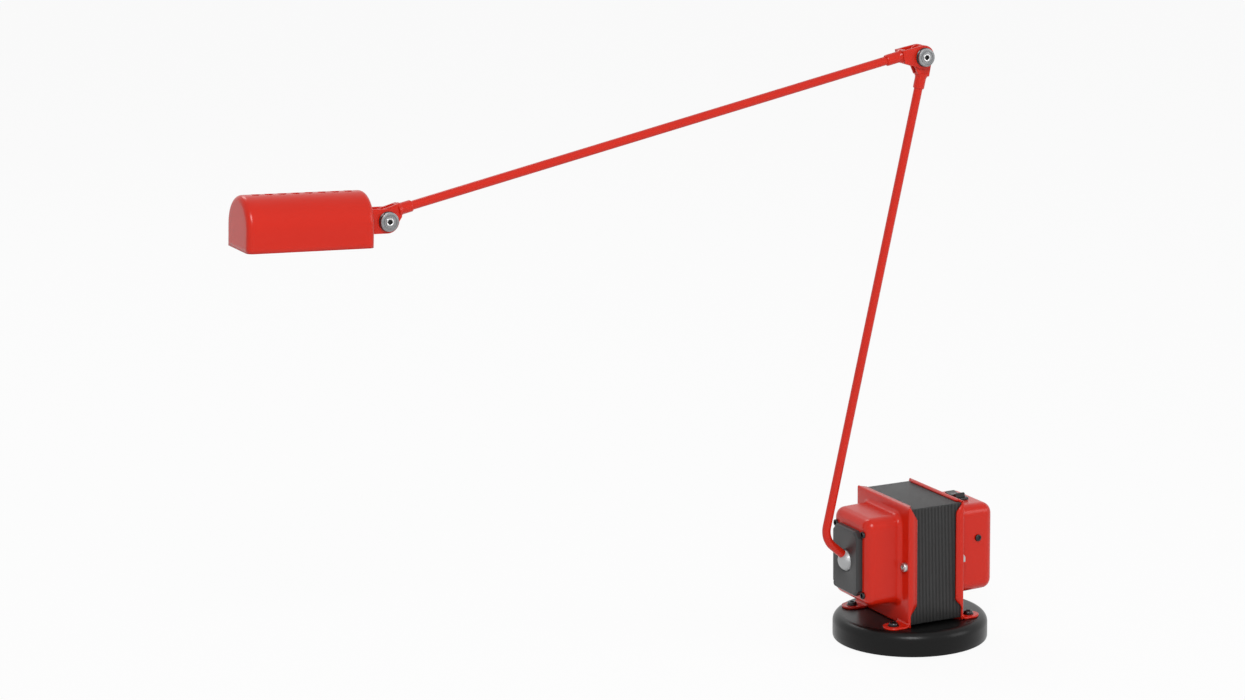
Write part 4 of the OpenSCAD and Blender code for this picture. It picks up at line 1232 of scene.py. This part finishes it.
@dataclass
class Pivot:
    """Bushes, turned caps, socket bolt and nut of one pivot."""

    name: str
    body: str
    centre: Triple
    tilt: float
    cheek_out: float = 5.8
    bush: float = 2.4
    cap: float = 1.3
    cap_r: float = 6.3
    seat_r: float = 2.75
    shank_r: float = 2.0
    shank_bore: float = 2.05
    neck_r: float = 2.88
    sheet: float = 1.5
    head_r: float = 2.68

    def cap_shape(self) -> Array:
        """Face of a cap from its rim inwards: bevel, flat, ring groove, flat, then a raised bright ring."""
        y0 = self.cheek_out + self.bush
        y1, r = y0 + self.cap, self.cap_r
        profile = np.array([(self.seat_r, y0), (r, y0), (r, y1 - 0.45), (r - 0.12, y1 - 0.15), (r - 0.45, y1),
                            (4.75, y1), (4.6, y1 - 0.28), (4.1, y1 - 0.28), (3.95, y1 - 0.02), (3.1, y1),
                            (self.seat_r + 0.05, y1 + 0.02), (self.seat_r, y1 - 0.2), (self.seat_r, y0)])
        return lathed(profile, 72)

    def bush_shape(self) -> Array:
        """Black collar between cheek and cap, waisted in the middle, with a neck through the cheek."""
        y0, y1 = self.cheek_out, self.cheek_out + self.bush
        bore, neck, r, inner = self.shank_bore, self.neck_r, self.cap_r, y0 - self.sheet
        profile = [(bore, inner), (neck, inner), (neck, y0), (r - 0.1, y0), (r + 0.2, y0 + 0.25),
                   (r + 0.2, y0 + 0.7), (r - 0.25, y0 + 1.0), (r - 0.25, y0 + 1.5), (r + 0.15, y0 + 1.75),
                   (r + 0.15, y1), (bore, y1), (bore, inner)]
        return lathed(np.array(profile), 64)

    def part(self, kind: str, node: str, slot: str, finish: Finish, *shapes: Array) -> None:
        """Makes one piece from shapes made along +Z, which are laid along +Y and moved to the pivot."""
        place = turn_y(self.tilt, self.centre)
        Piece(f"{self.name}_{kind}", self.body, (f"{self.name}_{node}",), slot, finish).add(
            *(placed(along_y(shape), place) for shape in shapes)).make()

    def build(self) -> None:
        """Makes the four pieces."""
        turned = Turned("turned_cap_" + self.name, (0.3, 0.305, 0.31), 0.4, centre=self.centre)
        flip = np.array([1.0, 1.0, -1.0])
        cap, bush = self.cap_shape(), self.bush_shape()
        self.part("cap_pair", "caps", "grey_caps", turned, cap, cap * flip)
        self.part("bush_pair", "bushes", "black_plastic", Finishes.BLACK_PLASTIC, bush, bush * flip)
        face = self.cheek_out + self.bush + self.cap
        head = socket_head(self.head_r, 2.45, bevel=0.3, key=1.62, depth=2.2) + np.array([0, 0, face - 2.05])
        end, r = face - 2.0, self.shank_r
        shank = lathed(np.array([(0, -end), (r, -end), (r, end), (0, end)]), 32)
        self.part("bolt_part", "bolt", "zinc_steel", Finishes.SOCKET, head * flip, shank * flip)
        slot = socket_head(self.head_r, 0.85, bevel=0.3, key=1.3, depth=0.6) + np.array([0, 0, face - 0.45])
        self.part("nut_part", "nut", "zinc_steel", Finishes.SOCKET, slot)


# ---------- shade ----------


@dataclass
class Shade:
    """Half-round shade with soft end edges and a row of round vents along its crest."""

    radius: float = 20.0
    skirt: float = 14.5
    x0: float = -100.0
    x1: float = -14.0
    edge: float = 4.0
    wall: float = 1.2
    vents: int = 8
    pitch: float = 8.9
    vent_r: float = 2.9
    strip: float = 4.45
    cell: int = 8
    cell_r: float = 1e-4

    def surface(self, x: Array, inset: Array, a: Array) -> Array:
        """Point of the shade's skin.

        With a the distance along the arch from its crest and r = radius - inset: on the round part
        y = r sin(a / radius) and z = r cos(a / radius); past it y = r or -r and z falls with a.

        Args:
            x: Place along the shade.
            inset: How far the section is drawn in, at the ends.
            a: Arc length at full radius, negative on the near side.

        Returns:
            Array with a last axis of x, y, z.
        """
        r, quarter_len = self.radius - inset, self.radius * math.pi / 2
        angle = np.clip(a, -quarter_len, quarter_len) / self.radius
        drop = np.maximum(np.abs(a) - quarter_len, 0)
        return np.stack(np.broadcast_arrays(x, r * np.sin(angle), r * np.cos(angle) - drop), -1)

    def ends(self) -> tuple[Array, Array]:
        """x and inset of the end wall and its rounded edge, from the wall's middle out to the barrel."""
        rise, draw = quarter(8)
        wall = [self.radius, 15.0, 10.0, 6.0]
        x = np.concatenate([np.zeros(len(wall)), self.edge * draw])
        inset = np.concatenate([wall, self.edge * (1 - rise)])
        return x, inset

    def build(self) -> None:
        """Skin in patches: the two ends, a strip on each side of the vents, and a cell round each vent."""
        first = (self.x0 + self.x1) / 2 - self.vents * self.pitch / 2
        last = first + self.vents * self.pitch
        reach = self.radius * math.pi / 2
        side = np.concatenate([np.linspace(self.strip, reach, 12), reach + np.linspace(2.5, self.skirt, 5)])
        middle = np.linspace(-self.strip, self.strip, self.cell + 1)
        arch = np.concatenate([-side[::-1], middle[1:-1], side])
        x, inset = self.ends()
        patches, cells = [], []
        for start, sign, limit in ((self.x0, 1, first), (self.x1, -1, last)):
            run = np.linspace(start + sign * self.edge, limit, 4)[1:]
            xs = np.concatenate([start + sign * x, run])
            ins = np.concatenate([inset, np.zeros(3)])
            patches.append(self.surface(xs[:, None], ins[:, None], arch[None, :]))
        along = np.linspace(first, last, self.vents * self.cell + 1)
        for strip in (side, -side):
            patches.append(self.surface(along[:, None], 0 * along[:, None], strip[None, :]))
        for k in range(self.vents):
            centre = np.array([first + (k + 0.5) * self.pitch, 0.0])
            outer = rounded(rectangle(self.pitch, 2 * self.strip, centre), self.cell_r, 4, self.cell)
            hole = centre + self.vent_r * unit(outer - centre)
            rings = np.stack([outer + (hole - outer) * f for f in (0.0, 0.5, 0.85, 1.0)])
            cells.append(self.surface(rings[..., 0], 0 * rings[..., 0], rings[..., 1]))
        Piece("shade_shell", "head", ("shade",), "red_paint", Finishes.RED, wall=self.wall, sharp=40).add(
            *(placed(p, BONES.in_head()) for p in patches), closed=False).add(
            *(placed(c, BONES.in_head()) for c in cells)).make()


# ---------- finishes on the CAD nodes that stay ----------


def dress_nodes() -> None:
    """Gives every CAD node that stays visible its finish."""
    table = {
        Finishes.RUBBER: ("base_pad",),
        Finishes.NYLON: ("ball_cup", "coil_bobbin", "terminal_block"),
        Finishes.COPPER: ("primary_winding", "secondary_winding"),
        Finishes.TAPE: ("winding_tape",),
        Finishes.FUSE: ("thermal_fuse",),
        Finishes.ZINC: ("tie_nuts", "plate_nuts", "seat_bracket", "cup_spring"),
        Finishes.DARK_STEEL: ("holder_screws",),
        Finishes.BRASS: ("switch_contacts", "bulb_pins"),
        Finishes.BLUE_WIRE: ("mains_leads",),
        Finishes.CLEAR_WIRE: ("lamp_leads", "lower_wire", "upper_wire", "head_leads"),
        Finishes.FIBRE: ("elbow_discs", "head_discs"),
        Finishes.SHEET: ("reflector",),
        Finishes.CERAMIC: ("lampholder",),
        Finishes.QUARTZ: ("bulb",),
    }
    for finish, names in table.items():
        for name in names:
            mesh = frame["nodes"][name].data
            mesh.materials.clear()
            mesh.materials.append(finish.material())
            log.info("%s: %s", name, finish.name)


# ---------- studio ----------


@dataclass
class Studio:
    """Camera, soft lights, pale floor and a bright plain surrounding."""

    azimuth: float = -25.79
    elevation: float = 12.43
    roll: float = -0.8
    distance: float = 2277.5
    target: Triple = (-224.45, 0.0, 232.89)
    lens: float = 98.16
    sensor: float = 36.0
    ambient: float = 0.32
    floor_share: float = 0.92
    floor_radius: float = 12000.0

    def stand(self, thing: bpy.types.Object, right: Array, up: Array, back: Array, place: Array) -> None:
        """Puts an object at a place in metres, with its own axes along three directions."""
        matrix = np.eye(4)
        matrix[:3] = np.stack([right, up, back, place], 1)
        thing.matrix_world = Matrix(matrix.tolist())

    def camera(self) -> None:
        """Camera on a line from the target at the azimuth and elevation, rolled about that line."""
        a, e, r = (math.radians(v) for v in (self.azimuth, self.elevation, self.roll))
        back = np.array([math.sin(a) * math.cos(e), -math.cos(a) * math.cos(e), math.sin(e)])
        right = np.array([math.cos(a), math.sin(a), 0.0])
        up = np.cross(back, right)
        right, up = math.cos(r) * right + math.sin(r) * up, math.cos(r) * up - math.sin(r) * right
        lens = bpy.data.cameras.new("camera")
        lens.lens, lens.sensor_width, lens.clip_start, lens.clip_end = self.lens, self.sensor, 0.01, 50.0
        bpy.context.scene.camera = shown("camera", lens)
        place = (np.array(self.target) + self.distance * back) * MM
        self.stand(bpy.context.scene.camera, right, up, back, place)

    def lamp(self, name: str, size: float, power: float, at: Triple, towards: Triple) -> None:
        """A square soft light.

        Args:
            name: The light's name.
            size: Its side, in metres.
            power: Its power, in watts.
            at: Where it hangs, in metres.
            towards: What it points at, in metres.
        """
        light = bpy.data.lights.new(name, "AREA")
        light.size, light.energy = size, power
        back = unit(np.array(at) - np.array(towards))
        right = unit(np.cross([0.0, 0.0, 1.0], back))
        self.stand(shown(name, light), right, np.cross(back, right), back, np.array(at))

    def floor(self) -> None:
        """Large pale disc that looks white to the camera and keeps the lamp's shadow."""
        rings = lathed(np.array([(0.0, 0.0), (self.floor_radius, 0.0)]), 96)
        mesh = bpy.data.meshes.new("floor")
        mesh.from_pydata((rings.reshape(-1, 3) * MM).tolist(), [], quads(2, 96, True).tolist())
        tidy_mesh(mesh, 30)
        n = Nodes(bpy.data.materials.new("pale_floor"))
        n.set(base_color=(0.9, 0.9, 0.9), roughness=0.8)
        glow = n.make("ShaderNodeEmission", {}, {"Color": WHITE, "Strength": 1.0})
        body = Socket(n, n.find("BSDF_PRINCIPLED").outputs[0])
        n.show(n.make("ShaderNodeMixShader", {}, {0: n.seen() * self.floor_share, 1: body, 2: glow}))
        mesh.materials.append(n.owner)
        shown("floor", mesh)

    def surroundings(self) -> None:
        """World that is white where it is seen or mirrored and lights the lamp at the ambient level."""
        world = bpy.data.worlds.new("surroundings")
        n = Nodes(world)
        soft, bright = (n.make("ShaderNodeBackground", {}, {"Color": WHITE, "Strength": strength})
                        for strength in (self.ambient, 1.0))
        n.show(n.make("ShaderNodeMixShader", {}, {0: n.seen(), 1: soft, 2: bright}))
        bpy.context.scene.world = world

    def build(self) -> None:
        """Sets the whole studio."""
        bpy.context.scene.view_settings.view_transform = "Standard"
        self.camera()
        self.floor()
        self.surroundings()
        self.lamp("key", 0.85, 38.0, (-1.0, -1.9, 1.9), (-0.2, 0.0, 0.2))
        self.lamp("fill", 1.0, 9.0, (1.6, -1.4, 0.9), (0.0, 0.0, 0.1))
        self.lamp("rim", 0.8, 9.0, (-0.3, 1.6, 1.9), (-0.1, 0.0, 0.2))


# ---------- the lamp ----------


def main() -> None:
    """Builds the studio, then the lamp from the base up."""
    Studio().build()
    Base().build()
    Core().build()
    covers = Cover(Side.FRONT, 26.5, "front_cover"), Cover(Side.BACK, 31.5, "back_cover")
    for group in (*covers, TieHardware(), BallPlate(), Ball(), CoverScrews(), Switch(), Inlet(), Tubes()):
        group.build()
    inner = {"y_in": 2.1, "y_out": 3.6, "hole": 2.08}  # cheeks that turn between the outer ones
    outer = {"y_in": 4.3, "y_out": 5.8, "hole": 2.95}
    low, high, back, lift = BONES.along_lower(), BONES.along_upper(), BONES.back_along_upper(), BONES.lift
    Fork("elbow_inner_fork", "lower_arm", "lower_fork", low, 12.5, 22.0, lift, **inner).build()
    Fork("elbow_outer_fork", "upper_arm", "upper_fork", high, 15.5, 27.0, -lift, **outer).build()
    Fork("head_inner_fork", "upper_arm", "head_fork", back, 11.0, 20.0, lift, **inner).build()
    HeadBracket().build()
    Pivot("elbow", "upper_arm", BONES.elbow, 0.0).build()
    Pivot("head", "head", BONES.head, BONES.head_tilt).build()
    Shade().build()
    dress_nodes()


if __name__ == "__main__":
    main()
